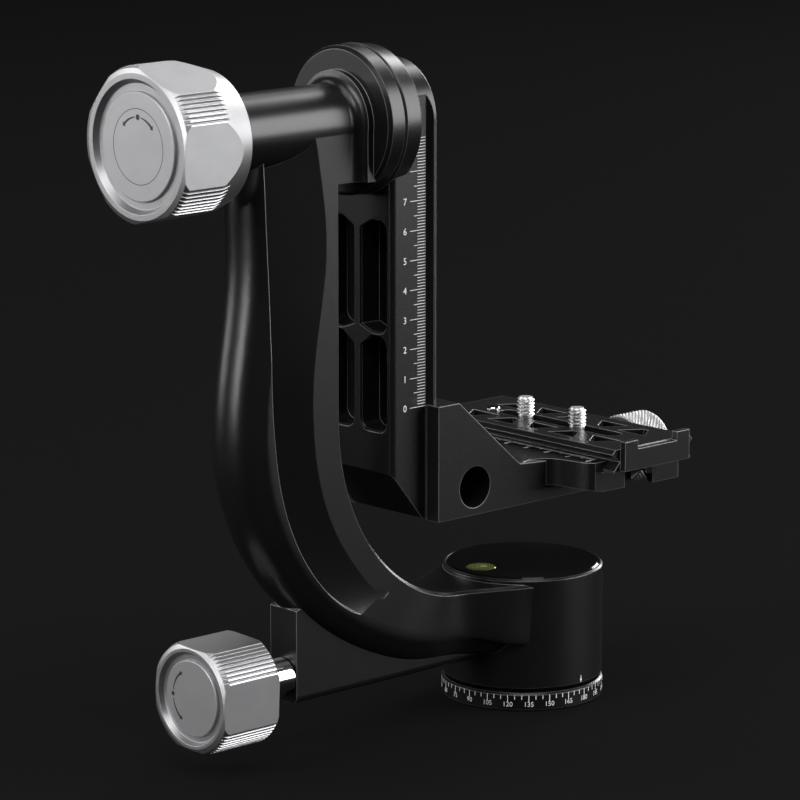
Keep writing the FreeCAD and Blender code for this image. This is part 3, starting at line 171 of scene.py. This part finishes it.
def engravingFill(name, look):
    # slightly uneven paint
    material, tree, shader, coords = startMaterial(name)
    cloud = noiseOf(tree, coords, look["cloudWidth"])
    colour = layOver(tree, spread(tree, cloud, 0, 1), look["colour"], look["cloudColour"])
    tree.links.new(colour, shader.inputs["Base Color"])
    tree.links.new(spread(tree, cloud, *look["roughness"]), shader.inputs["Roughness"])
    return material


whiteFill = engravingFill("whiteFill", whiteLook)
blackFill = engravingFill("blackFill", inkLook)

capLook = {"colour": (0.0035, 0.0035, 0.0040), "peelColour": (0.0055, 0.0055, 0.0060),
           "peelWidth": 2.5 * mm, "peelDepth": 0.002 * mm, "roughness": (0.05, 0.09), "ior": 1.30}


def glossCap(look):
    # piano-black cap over the hub with the faintest orange peel
    material, tree, shader, coords = startMaterial("glossCap")
    peel = noiseOf(tree, coords, look["peelWidth"])
    colour = layOver(tree, peel, look["colour"], look["peelColour"])
    tree.links.new(colour, shader.inputs["Base Color"])
    tree.links.new(spread(tree, peel, *look["roughness"]), shader.inputs["Roughness"])
    raised(tree, peel, look["peelDepth"], shader)
    shader.inputs["IOR"].default_value = look["ior"]
    return material


vialLook = {"centre": (-18.1 * mm, 2.4 * mm), "radius": 5.4 * mm, "rimFrom": 0.35,
            "spirit": (0.20, 0.21, 0.065), "rim": (0.085, 0.095, 0.025), "mark": (0.02, 0.02, 0.015),
            "markR": 2.4 * mm, "markLine": 0.22 * mm, "bubble": (0.36, 0.38, 0.17),
            "bubbleShift": (0.9 * mm, -0.5 * mm), "bubbleR": 1.7 * mm, "bubbleSoft": 0.86,
            "bubbleLine": 0.25 * mm, "cloudWidth": 1.5 * mm, "roughness": (0.07, 0.11), "ior": 1.33}


def distanceFrom(tree, coords, centre):
    # plan distance from an upright axis
    mapping = tree.nodes.new("ShaderNodeMapping")
    mapping.inputs["Location"].default_value = (-centre[0], -centre[1], 0)
    mapping.inputs["Scale"].default_value = (1, 1, 0)
    reach = tree.nodes.new("ShaderNodeVectorMath")
    reach.operation = "LENGTH"
    tree.links.new(coords, mapping.inputs["Vector"])
    tree.links.new(mapping.outputs["Vector"], reach.inputs[0])
    return reach.outputs["Value"]


def circleLine(tree, reach, radius, width):
    # 1 within 0.35 of the width from a circle, fading to 0 at 0.65 of it
    offset = tree.nodes.new("ShaderNodeMath")
    offset.operation = "SUBTRACT"
    offset.inputs[1].default_value = radius
    size = tree.nodes.new("ShaderNodeMath")
    size.operation = "ABSOLUTE"
    tree.links.new(reach, offset.inputs[0])
    tree.links.new(offset.outputs["Value"], size.inputs[0])
    return spread(tree, size.outputs["Value"], 1, 0, 0.35 * width, 0.65 * width)


def vialFluid(look):
    # yellow-green spirit under a clear dome: darker rim, centre ring and a pale bubble
    material, tree, shader, coords = startMaterial("vialFluid")
    reach = distanceFrom(tree, coords, look["centre"])
    bubbleCentre = [middle + shift for middle, shift in zip(look["centre"], look["bubbleShift"])]
    bubbleReach = distanceFrom(tree, coords, bubbleCentre)
    atRim = spread(tree, reach, 0, 1, look["rimFrom"] * look["radius"], look["radius"])
    inBubble = spread(tree, bubbleReach, 1, 0, look["bubbleSoft"] * look["bubbleR"], look["bubbleR"])
    onBubbleLine = circleLine(tree, bubbleReach, look["bubbleR"], look["bubbleLine"])
    onMark = circleLine(tree, reach, look["markR"], look["markLine"])
    colour = layOver(tree, atRim, look["spirit"], look["rim"])
    colour = layOver(tree, inBubble, colour, look["bubble"])
    colour = layOver(tree, onBubbleLine, colour, look["rim"])
    colour = layOver(tree, onMark, colour, look["mark"])
    tree.links.new(colour, shader.inputs["Base Color"])
    cloud = noiseOf(tree, coords, look["cloudWidth"])
    tree.links.new(spread(tree, cloud, *look["roughness"]), shader.inputs["Roughness"])
    shader.inputs["IOR"].default_value = look["ior"]
    return material


hubGloss = glossCap(capLook)
spiritGreen = vialFluid(vialLook)

# A node takes the finish of its slot, or its own where the second table names it
slotFinish = {
    "black_anodised": blackAnodised, "silver_anodised": silverAnodised, "chrome": chromePlate,
    "steel": brightSteel, "brass": brassMetal, "gloss_cap": hubGloss, "polymer": blackPolymer,
    "vial": spiritGreen,
}
nodeFinish = {
    "swing_rail": railAnodised, "bracket": railAnodised, "rail_jaw": railAnodised,
    "plate_jaw": railAnodised, "quick_release_plate": railAnodised,
    "tilt_knob_cap": knobFace, "pan_knob_cap": knobFace, "plate_stop_screws": chromePlate,
    "front_camera_screw": screwPlate, "rear_camera_screw": screwPlate,
}


def finishNodes():
    for name, item in nodes.items():
        for place in item.material_slots:
            slotName = place.material.name.split(".")[0]
            place.material = nodeFinish.get(name) or slotFinish[slotName]


finishNodes()
print("materials set")


# Meshes from arrays

def addPiece(name, points, faces, body, material, crease=0):
    # a piece with its place in its mesh, riding on a body; edges sharper than crease degrees stay hard
    mesh = bpy.data.meshes.new(name)
    mesh.from_pydata(points.tolist(), [], faces)
    mesh.polygons.foreach_set("use_smooth", [crease > 0] * len(mesh.polygons))
    mesh.set_sharp_from_angle(angle=math.radians(crease))
    mesh.materials.append(material)
    mesh.update()
    item = bpy.data.objects.new(name, mesh)
    bpy.context.scene.collection.objects.link(item)
    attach(item, body)
    return item


def joined(parts):
    # several (points, faces) pairs as one pair
    starts = np.cumsum([0] + [len(points) for points, _ in parts]).tolist()
    faces = [[start + index for index in face] for start, (_, group) in zip(starts, parts) for face in group]
    return np.concatenate([points for points, _ in parts]), faces


def boxes(spans):
    # box k fills spans[k] = (u0, u1, v0, v1, w0, w1): every corner takes one end of each span
    spans = np.asarray(spans, float).reshape(-1, 3, 2)
    ends = np.array([(0, 0, 0), (1, 0, 0), (1, 1, 0), (0, 1, 0),
                     (0, 0, 1), (1, 0, 1), (1, 1, 1), (0, 1, 1)])
    corners = spans[:, np.arange(3)[None, :], ends].reshape(-1, 3)
    sides = np.array([(3, 2, 1, 0), (4, 5, 6, 7), (0, 1, 5, 4), (1, 2, 6, 5), (2, 3, 7, 6), (3, 0, 4, 7)])
    faces = (np.arange(len(spans))[:, None, None] * 8 + sides).reshape(-1, 4)
    return corners, faces.tolist()


def tubeFaces(rings, columns, closed=False):
    # quads between neighbouring rings of points; the last ring meets the first, or each end gets a face
    ring, column = np.meshgrid(np.arange(rings if closed else rings - 1), np.arange(columns), indexing="ij")
    nextRing, nextColumn = (ring + 1) % rings, (column + 1) % columns
    quads = np.stack([ring * columns + column, ring * columns + nextColumn,
                      nextRing * columns + nextColumn, nextRing * columns + column], axis=-1)
    faces = quads.reshape(-1, 4).tolist()
    if not closed:
        first = list(range(columns))
        faces += [first[::-1], [(rings - 1) * columns + index for index in first]]
    return faces


def numeral(text, height, depth, digitShare=0.7):
    # a number as a solid in (u right, v up, w out), its middle at the origin;
    # digitShare is how tall a digit is in a font of size 1
    curve = bpy.data.curves.new("numeral", "FONT")
    curve.body = text
    curve.align_x = "CENTER"
    curve.align_y = "CENTER"
    curve.size = height / digitShare
    curve.extrude = depth / 2
    curve.resolution_u = 3
    holder = bpy.data.objects.new("numeral", curve)
    bpy.context.scene.collection.objects.link(holder)
    mesh = bpy.data.meshes.new_from_object(holder.evaluated_get(bpy.context.evaluated_depsgraph_get()))
    points = np.zeros(len(mesh.vertices) * 3)
    mesh.vertices.foreach_get("co", points)
    faces = [list(face.vertices) for face in mesh.polygons]
    bpy.data.objects.remove(holder)
    bpy.data.meshes.remove(mesh)
    return points.reshape(-1, 3), faces


def roundBase(points, radius):
    # wraps (u, v, w) round the pan axis: the angle is u / radius, the reach radius + w, the height v
    angle = points[:, 0] / radius
    reach = radius + points[:, 2]
    return np.stack([reach * np.cos(angle), reach * np.sin(angle), points[:, 1]], axis=1)


def onFront(points, faceY):
    # lays (u, v, w) on a face that looks towards -Y: X = u, Y = faceY - w, Z = v
    return np.stack([points[:, 0], faceY - points[:, 2], points[:, 1]], axis=1)


def onEnd(points, faceX, centreZ):
    # lays (u, v, w) on a face that looks towards -X: X = faceX - w, Y = -u, Z = centreZ + v
    return np.stack([faceX - points[:, 2], -points[:, 0], centreZ + points[:, 1]], axis=1)


def onBed(points, bedZ):
    # lays (u, v, w) on a face that looks up, read from -X: X = v, Y = -u, Z = bedZ + w
    return np.stack([points[:, 1], -points[:, 0], bedZ + points[:, 2]], axis=1)


# Filled engraving: how far each mark stands out of its face, and how deep it reaches in
markLift = 0.02 * mm
markSink = 0.10 * mm


def filledTicks(left, right, low, high):
    # tick k is a box from left[k] to right[k], low[k] to high[k], and from the sink to the lift
    return boxes(np.stack(np.broadcast_arrays(left, right, low, high, -markSink, markLift), axis=1))


def filledNumber(mark, height, u, v):
    # a number as thick as the ticks, its middle at (u, v)
    points, faces = numeral(str(mark), height, markLift + markSink)
    return points + (u, v, (markLift - markSink) / 2), faces


def filledRibbon(u, v, closed=False):
    # a bar whose section k has its corners at (u[k], v[k]), two at the sink and two at the lift
    depth = np.broadcast_to([-markSink, -markSink, markLift, markLift], u.shape)
    return np.stack([u, v, depth], axis=-1).reshape(-1, 3), tubeFaces(len(u), 4, closed)


# Dial scale round the base
dialScale = {"radius": 28.4 * mm, "top": 5.9 * mm, "shortTick": 1.5 * mm, "longTick": 2.4 * mm,
             "tickWidth": 0.28 * mm, "numberHeight": 1.7 * mm, "numberZ": 2.6 * mm, "zeroAngle": 95,
             "tickStep": 5, "numberStep": 15}


def makeDialScale(look):
    # a mark of d degrees stands at the arc length (zero + d) in radians, times the radius
    marks = np.arange(0, 360, look["tickStep"])
    arc = np.radians(marks + look["zeroAngle"]) * look["radius"]
    numbered = marks % look["numberStep"] == 0
    length = np.where(numbered, look["longTick"], look["shortTick"])
    half = look["tickWidth"] / 2
    parts = [filledTicks(arc - half, arc + half, look["top"] - length, look["top"])]
    parts += [filledNumber(mark, look["numberHeight"], around, look["numberZ"])
              for mark, around in zip(marks[numbered].tolist(), arc[numbered].tolist())]
    points, faces = joined(parts)
    addPiece("dial_scale", roundBase(points, look["radius"]), faces, "base", whiteFill)


makeDialScale(dialScale)

# Index mark on the hub, a slim line with a swelling
indexMark = {"radius": 28.1 * mm, "angle": -87.9, "bottom": 8.4 * mm, "top": 10.9 * mm,
             "width": 0.30 * mm, "swell": 0.95 * mm, "swellAt": 0.40, "swellSpan": 0.14}


def makeIndexMark(look, rows=25):
    # at t along it the width goes from the line's to the swelling's by exp(-((t - swellAt) / swellSpan)^2)
    along = np.linspace(0, 1, rows)
    bell = np.exp(-((along - look["swellAt"]) / look["swellSpan"]) ** 2)
    half = look["width"] / 2 + (look["swell"] - look["width"]) / 2 * bell
    around = np.stack([-half, half, half, -half], axis=1) + math.radians(look["angle"]) * look["radius"]
    height = look["bottom"] + along * (look["top"] - look["bottom"])
    points, faces = filledRibbon(around, np.broadcast_to(height[:, None], around.shape))
    addPiece("index_mark", roundBase(points, look["radius"]), faces, "arm", whiteFill)


makeIndexMark(indexMark)

# Height scale on the swing rail
railScale = {"face": -17.0 * mm, "zero": 114.66 * mm, "count": 92, "edge": -63.7 * mm,
             "longTick": 7.0 * mm, "halfTick": 5.2 * mm, "shortTick": 3.6 * mm, "tickWidth": 0.20 * mm,
             "numberHeight": 2.3 * mm, "numberX": -73.0 * mm, "lastNumber": 7}


def rulerLengths(marks, look):
    # millimetre ticks, longer at every fifth and longest at every tenth
    fifths = np.where(marks % 5 == 0, look["halfTick"], look["shortTick"])
    return np.where(marks % 10 == 0, look["longTick"], fifths)


def makeRailScale(look):
    # tick k stands k millimetres above the zero and runs from the edge by its length
    marks = np.arange(look["count"])
    height = look["zero"] + marks * mm
    start = look["edge"] - rulerLengths(marks, look)
    half = look["tickWidth"] / 2
    parts = [filledTicks(start, look["edge"], height - half, height + half)]
    parts += [filledNumber(mark, look["numberHeight"], look["numberX"], look["zero"] + 10 * mark * mm)
              for mark in range(look["lastNumber"] + 1)]
    points, faces = joined(parts)
    addPiece("rail_scale", onFront(points, look["face"]), faces, "cradle", whiteFill)


makeRailScale(railScale)

# Scale on the bracket's bed, beside the plate
bedScale = {"top": 89.7 * mm, "edge": -0.6 * mm, "zero": -36.4 * mm, "count": 66,
            "longTick": 3.4 * mm, "halfTick": 2.7 * mm, "shortTick": 1.9 * mm, "tickWidth": 0.26 * mm,
            "numberHeight": 2.0 * mm, "numberX": -5.1 * mm, "lastNumber": 6}


def makeBedScale(look):
    # tick k stands k millimetres along +Y from the zero and runs from the edge by its length
    marks = np.arange(look["count"])
    across = -look["zero"] - marks * mm
    start = look["edge"] - rulerLengths(marks, look)
    half = look["tickWidth"] / 2
    parts = [filledTicks(across - half, across + half, start, look["edge"])]
    parts += [filledNumber(mark, look["numberHeight"], -look["zero"] - 10 * mark * mm, look["numberX"])
              for mark in range(look["lastNumber"] + 1)]
    points, faces = joined(parts)
    addPiece("bed_scale", onBed(points, look["top"]), faces, "bracket", whiteFill)


makeBedScale(bedScale)
print("scales made")

# Threads and knurls: rings carried along an axis; each letter gives the order that lays them along it
layAlong = {"X": (0, 1, 2), "Y": (2, 0, 1), "Z": (1, 2, 0)}


def carriedRound(along, reach):
    # ring k: the place along[k], and round it reach[k] times the cosine and the sine of the turn
    angle = np.linspace(0, 2 * np.pi, reach.shape[1], endpoint=False)
    place = np.broadcast_to(along[:, None], reach.shape)
    return np.stack([place, reach * np.cos(angle), reach * np.sin(angle)], axis=-1).reshape(-1, 3)


def steps(pairs):
    # the (place, radius) pairs of a plain turned profile as two arrays
    return np.array(pairs, float).T


def addTurned(name, node, parts, look, closed=True):
    # a turned piece in place of a node, from parts that give places and a radius or a row of radii at each
    columns = look["columns"]
    along = np.concatenate([places for places, _ in parts])
    reach = np.concatenate([np.broadcast_to(radii.reshape(len(places), -1), (len(places), columns))
                            for places, radii in parts])
    points = carriedRound(along, reach)[:, layAlong[look["axis"]]] + look["centre"]
    material = nodeFinish.get(node) or slotFinish[look["slot"]]
    item = addPiece(name, points, tubeFaces(len(along), columns, closed), look["body"],
                    material, look["crease"])
    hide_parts(node)


def zigzag(turns):
    # 1 at every whole turn and 0 at every half turn, straight between
    return np.abs(2 * (turns - np.floor(turns)) - 1)


def tooth(turns):
    # the zigzag made 1.5 times as steep about its middle and cut off, for a small flat on crest and root
    return np.clip(1.5 * zigzag(turns) - 0.25, 0, 1)


def threadReach(along, look):
    # root + (crest - root) * tooth(place / pitch - turn), fading to the root towards both ends
    turn = np.arange(look["columns"])[None, :] / look["columns"]
    fromEnd = np.minimum(along - along[0], along[-1] - along)[:, None]
    height = tooth(along[:, None] / look["pitch"] - turn) * np.clip(fromEnd / look["fade"], 0, 1)
    return look["rootR"] + (look["crestR"] - look["rootR"]) * height


# Camera screws: head, plain neck and a coarse thread
screwLook = {"axis": "Z", "columns": 64, "crease": 35, "slot": "chrome",
             "headR": 5.5 * mm, "headLow": 87.0 * mm, "headHigh": 89.7 * mm, "headEase": 0.3 * mm,
             "easedR": 5.17 * mm, "neckR": 2.7 * mm, "neckTop": 94.4 * mm, "threadLow": 94.6 * mm,
             "threadTop": 100.9 * mm, "pitch": 1.27 * mm, "rootR": 2.50 * mm, "crestR": 3.17 * mm,
             "fade": 0.3 * mm, "rowsPerTurn": 16, "top": 101.3 * mm, "tipR": 2.3 * mm}


def makeCameraScrew(name, node, look):
    # head and neck as plain steps, rings of threadReach up the thread, and the tip
    rows = int(round((look["threadTop"] - look["threadLow"]) / look["pitch"] * look["rowsPerTurn"]))
    climb = np.linspace(look["threadLow"], look["threadTop"], rows)
    head = steps([(look["headLow"], look["easedR"]), (look["headLow"] + look["headEase"], look["headR"]),
                  (look["headHigh"] - look["headEase"], look["headR"]), (look["headHigh"], look["easedR"]),
                  (look["headHigh"], look["neckR"]), (look["neckTop"], look["neckR"])])
    tip = steps([(look["top"], look["tipR"])])
    addTurned(name, node, [head, (climb, threadReach(climb, look)), tip], look, closed=False)


makeCameraScrew("front_thread", "front_camera_screw",
                {**screwLook, "body": "front_screw", "centre": (17 * mm, -9.5 * mm, 0)})
makeCameraScrew("rear_thread", "rear_camera_screw",
                {**screwLook, "body": "rear_screw", "centre": (17 * mm, 16 * mm, 0)})

# Tripod bushing: flanged sleeve with a blind thread
bushLook = {"axis": "Z", "columns": 64, "crease": 35, "slot": "steel", "body": "base",
            "centre": (0, 0, 0), "mouth": 0.6 * mm, "mouthR": 4.86 * mm, "threadTop": 11.6 * mm,
            "end": 12.0 * mm, "pitch": 1.5875 * mm, "rootR": 4.76 * mm, "crestR": 3.97 * mm,
            "fade": 0.1 * mm, "rowsPerTurn": 12, "sleeveR": 7.0 * mm, "flangeR": 9.0 * mm,
            "flangeLow": 3.0 * mm, "flangeHigh": 5.0 * mm, "top": 14.0 * mm}


def makeBushing(look):
    # from the blind end down the rings of threadReach, round the mouth and up the flanged outside
    rows = int(round((look["end"] - look["mouth"]) / look["pitch"] * look["rowsPerTurn"]))
    climb = np.linspace(look["mouth"], look["threadTop"], rows)
    blindEnd = steps([(look["end"], look["crestR"])])
    outside = steps([(0, look["mouthR"]), (0, look["sleeveR"]), (look["flangeLow"], look["sleeveR"]),
                     (look["flangeLow"], look["flangeR"]), (look["flangeHigh"], look["flangeR"]),
                     (look["flangeHigh"], look["sleeveR"]), (look["top"], look["sleeveR"])])
    bore = (climb[::-1], threadReach(climb, look)[::-1])
    addTurned("bush_thread", "thread_bushing", [blindEnd, bore, outside], look, closed=False)


makeBushing(bushLook)

# Knurled clamp knobs: stepped back, diamond knurl on the rim, bevelled face round the screw
knurlLook = {"slot": "silver_anodised", "crease": 0, "columns": 288, "diamonds": 48, "depth": 0.55 * mm,
             "boreR": 2.5 * mm, "neckT": 1.5 * mm, "step": 2.5 * mm, "bevel": 0.7 * mm}


def knurl(along, radius, look):
    # radius - depth * (1 - the lower of two zigzags slanting either way), which leaves rows of pyramids
    turns = np.arange(look["columns"])[None, :] / look["columns"] * look["diamonds"]
    slant = along[:, None] / (2 * np.pi * radius / look["diamonds"])
    return radius - look["depth"] * (1 - np.minimum(zigzag(turns + slant), zigzag(turns - slant)))


def makeKnurledKnob(name, node, look):
    # a loop from the bore over the stepped back, along the rings of the knurl and down the face
    radius, length, bevel = look["radius"], look["length"], look["bevel"]
    neckR = radius - look["step"]
    back = steps([(0, look["boreR"]), (0, neckR), (look["neckT"], neckR), (look["neckT"], radius - bevel)])
    rim = np.linspace(look["neckT"] + bevel, length - bevel, look["rows"])
    face = steps([(length, radius - bevel), (length, look["boreR"])])
    addTurned(name, node, [back, (rim, knurl(rim, radius, look)), face], look)


makeKnurledKnob("plate_knurl", "plate_knob", {
    **knurlLook, "axis": "X", "body": "plate_lock", "centre": (47.3 * mm, 0, 80 * mm),
    "radius": 12.4 * mm, "length": 15.7 * mm, "rows": 46})
makeKnurledKnob("rail_knurl", "rail_knob", {
    **knurlLook, "axis": "Y", "body": "rail_lock", "centre": (-55.6 * mm, 24.0 * mm, 98 * mm),
    "radius": 11 * mm, "length": 13 * mm, "rows": 38})
print("threads and knurls made")

# Turning arrows and the engraved ring on the two big knobs; angles in degrees
arrowLook = {"gap": 9, "tail": 0.35, "headShare": 0.16, "point": 0.02 * mm, "ringWidth": 0.22 * mm}
tiltArrows = {**arrowLook, "name": "tilt_arrows", "body": "tilt_lock", "face": -173.4 * mm,
              "centreZ": 211.57 * mm, "radius": 9.5 * mm, "turn": 90, "sweep": 42, "width": 1.0 * mm,
              "head": 2.0 * mm, "dot": 0.95 * mm, "ring": 12.2 * mm}
panArrows = {**arrowLook, "name": "pan_arrows", "body": "pan_lock", "face": -153.5 * mm,
             "centreZ": 26.4 * mm, "radius": 9.3 * mm, "turn": 180, "sweep": 52, "width": 0.80 * mm,
             "head": 1.7 * mm, "dot": 0.75 * mm, "ring": None}


def arrowBand(look, side, rows=41):
    # a ribbon along an arc: at t its width is width * (tail + (1 - tail) * t),
    # and over the last headShare it runs from the head's width down to a point
    along = np.linspace(0, 1, rows)
    shaft = look["width"] / 2 * (look["tail"] + (1 - look["tail"]) * along)
    head = look["head"] / 2 * (1 - along) / look["headShare"]
    half = np.maximum(np.where(along > 1 - look["headShare"], head, shaft), look["point"])
    angle = np.radians(look["turn"] + side * (look["gap"] + look["sweep"] * along))[:, None]
    reach = look["radius"] - side * np.stack([-half, half, half, -half], axis=1)
    return filledRibbon(reach * np.cos(angle), reach * np.sin(angle))


def flatRing(radius, width, segments=96):
    # a ribbon round a full circle, with its corners at the radius less and plus half the width
    angle = np.linspace(0, 2 * np.pi, segments, endpoint=False)
    reach = radius + width / 2 * np.array([-1, 1, 1, -1])
    return filledRibbon(np.outer(np.cos(angle), reach), np.outer(np.sin(angle), reach), closed=True)


def dotDisc(radius, u, v, segments=28):
    # a short round pin: the circle (u + radius * cosine, v + radius * sine) at the sink and at the lift
    angle = np.linspace(0, 2 * np.pi, segments, endpoint=False)
    circle = np.stack([u + radius * np.cos(angle), v + radius * np.sin(angle), np.zeros(segments)], axis=1)
    return np.concatenate([circle - (0, 0, markSink), circle + (0, 0, markLift)]), tubeFaces(2, segments)


def makeArrows(look):
    turn = math.radians(look["turn"])
    parts = [arrowBand(look, 1), arrowBand(look, -1),
             dotDisc(look["dot"], look["radius"] * math.cos(turn), look["radius"] * math.sin(turn))]
    if look["ring"]:
        parts.append(flatRing(look["ring"], look["ringWidth"]))
    points, faces = joined(parts)
    laid = onEnd(points, look["face"], look["centreZ"])
    addPiece(look["name"], laid, faces, look["body"], blackFill)


makeArrows(tiltArrows)
makeArrows(panArrows)
print("knob marks made")

# Camera between -X and -Y, looking slightly down; turn and dip in radians
cameraView = {"place": (-1.04508, -1.04673, 0.41227), "turn": 0.7554334, "dip": 0.2049929,
              "lens": 194.68, "sensor": 36}


def addCamera(look):
    data = bpy.data.cameras.new("camera")
    data.lens = look["lens"]
    data.sensor_width = look["sensor"]
    data.clip_start = 0.05
    data.clip_end = 50
    item = bpy.data.objects.new("camera", data)
    item.location = look["place"]
    item.rotation_euler = (math.pi / 2 - look["dip"], 0, -look["turn"])
    bpy.context.scene.collection.objects.link(item)
    bpy.context.scene.camera = item


addCamera(cameraView)

# Soft boxes: angle from -Y towards -X, angle above the floor, distance, size and power
lampAim = (-0.05, 0, 0.12)
lamps = {
    "rightBox": {"turn": -44, "rise": 12, "reach": 2.6, "size": (2.0, 2.2), "power": 108},
    "rightRearBox": {"turn": -104, "rise": 24, "reach": 2.4, "size": (0.7, 2.0), "power": 42},
    "leftBox": {"turn": 94, "rise": 18, "reach": 2.4, "size": (0.65, 2.4), "power": 50},
    "leftRearBox": {"turn": 142, "rise": 12, "reach": 2.6, "size": (1.1, 2.0), "power": 30},
    "backBox": {"turn": 223, "rise": 46, "reach": 1.8, "size": (1.8, 0.7), "power": 5.5},
    "topBox": {"turn": 35, "rise": 76, "reach": 1.1, "size": (0.8, 0.8), "power": 5},
    "frontBox": {"turn": 43, "rise": 48, "reach": 1.3, "size": (0.4, 0.4), "power": 4},
}


def addLamp(name, look):
    # stands at the aim + reach * (-sin turn cos rise, -cos turn cos rise, sin rise) and faces the aim
    data = bpy.data.lights.new(name, "AREA")
    data.shape = "RECTANGLE"
    data.size, data.size_y = look["size"]
    data.energy = look["power"]
    turn, rise = math.radians(look["turn"]), math.radians(look["rise"])
    out = np.array([-math.sin(turn) * math.cos(rise), -math.cos(turn) * math.cos(rise), math.sin(rise)])
    item = bpy.data.objects.new(name, data)
    item.location = out * look["reach"] + lampAim
    item.rotation_euler = (math.pi / 2 - rise, 0, -turn)
    bpy.context.scene.collection.objects.link(item)


for lampName, lampLook in lamps.items():
    addLamp(lampName, lampLook)

# Dark surround as the lens, gloss and glass see it, and a plain fill as a light
surround = {"colour": (1.0, 1.0, 1.0), "seen": 0.012, "light": 0.28}


def addWorld(look):
    world = bpy.data.worlds.new("surround")
    world.use_nodes = True
    tree = world.node_tree
    rays = tree.nodes.new("ShaderNodeLightPath")
    seen = rays.outputs["Is Camera Ray"]
    for kind in ("Is Glossy Ray", "Is Transmission Ray"):
        either = tree.nodes.new("ShaderNodeMath")
        either.operation = "MAXIMUM"
        tree.links.new(seen, either.inputs[0])
        tree.links.new(rays.outputs[kind], either.inputs[1])
        seen = either.outputs["Value"]
    strength = spread(tree, seen, look["light"], look["seen"], 0, 1)
    backdrop = tree.nodes["Background"]
    backdrop.inputs["Color"].default_value = (*look["colour"], 1)
    tree.links.new(strength, backdrop.inputs["Strength"])
    bpy.context.scene.world = world


addWorld(surround)

# Dark paper under the tripod face
floorLook = {"half": 6.0, "colour": (0.0045, 0.0045, 0.0047), "cloudColour": (0.00441, 0.00441, 0.004606),
             "cloudWidth": 0.4, "roughness": (0.8, 0.9), "ior": 1.02, "glow": 0.0025}


def addFloor(look):
    material, tree, shader, coords = startMaterial("floorPaper")
    cloud = noiseOf(tree, coords, look["cloudWidth"])
    colour = layOver(tree, cloud, look["colour"], look["cloudColour"])
    tree.links.new(colour, shader.inputs["Base Color"])
    tree.links.new(spread(tree, cloud, *look["roughness"]), shader.inputs["Roughness"])
    shader.inputs["IOR"].default_value = look["ior"]
    shader.inputs["Emission Color"].default_value = (1, 1, 1, 1)
    shader.inputs["Emission Strength"].default_value = look["glow"]
    corners = [(x * look["half"], y * look["half"], 0) for x, y in ((-1, -1), (1, -1), (1, 1), (-1, 1))]
    mesh = bpy.data.meshes.new("floor")
    mesh.from_pydata(corners, [], [(0, 1, 2, 3)])
    mesh.materials.append(material)
    item = bpy.data.objects.new("floor", mesh)
    bpy.context.scene.collection.objects.link(item)


addFloor(floorLook)
bpy.context.scene.view_settings.view_transform = "Standard"
print("stage set")
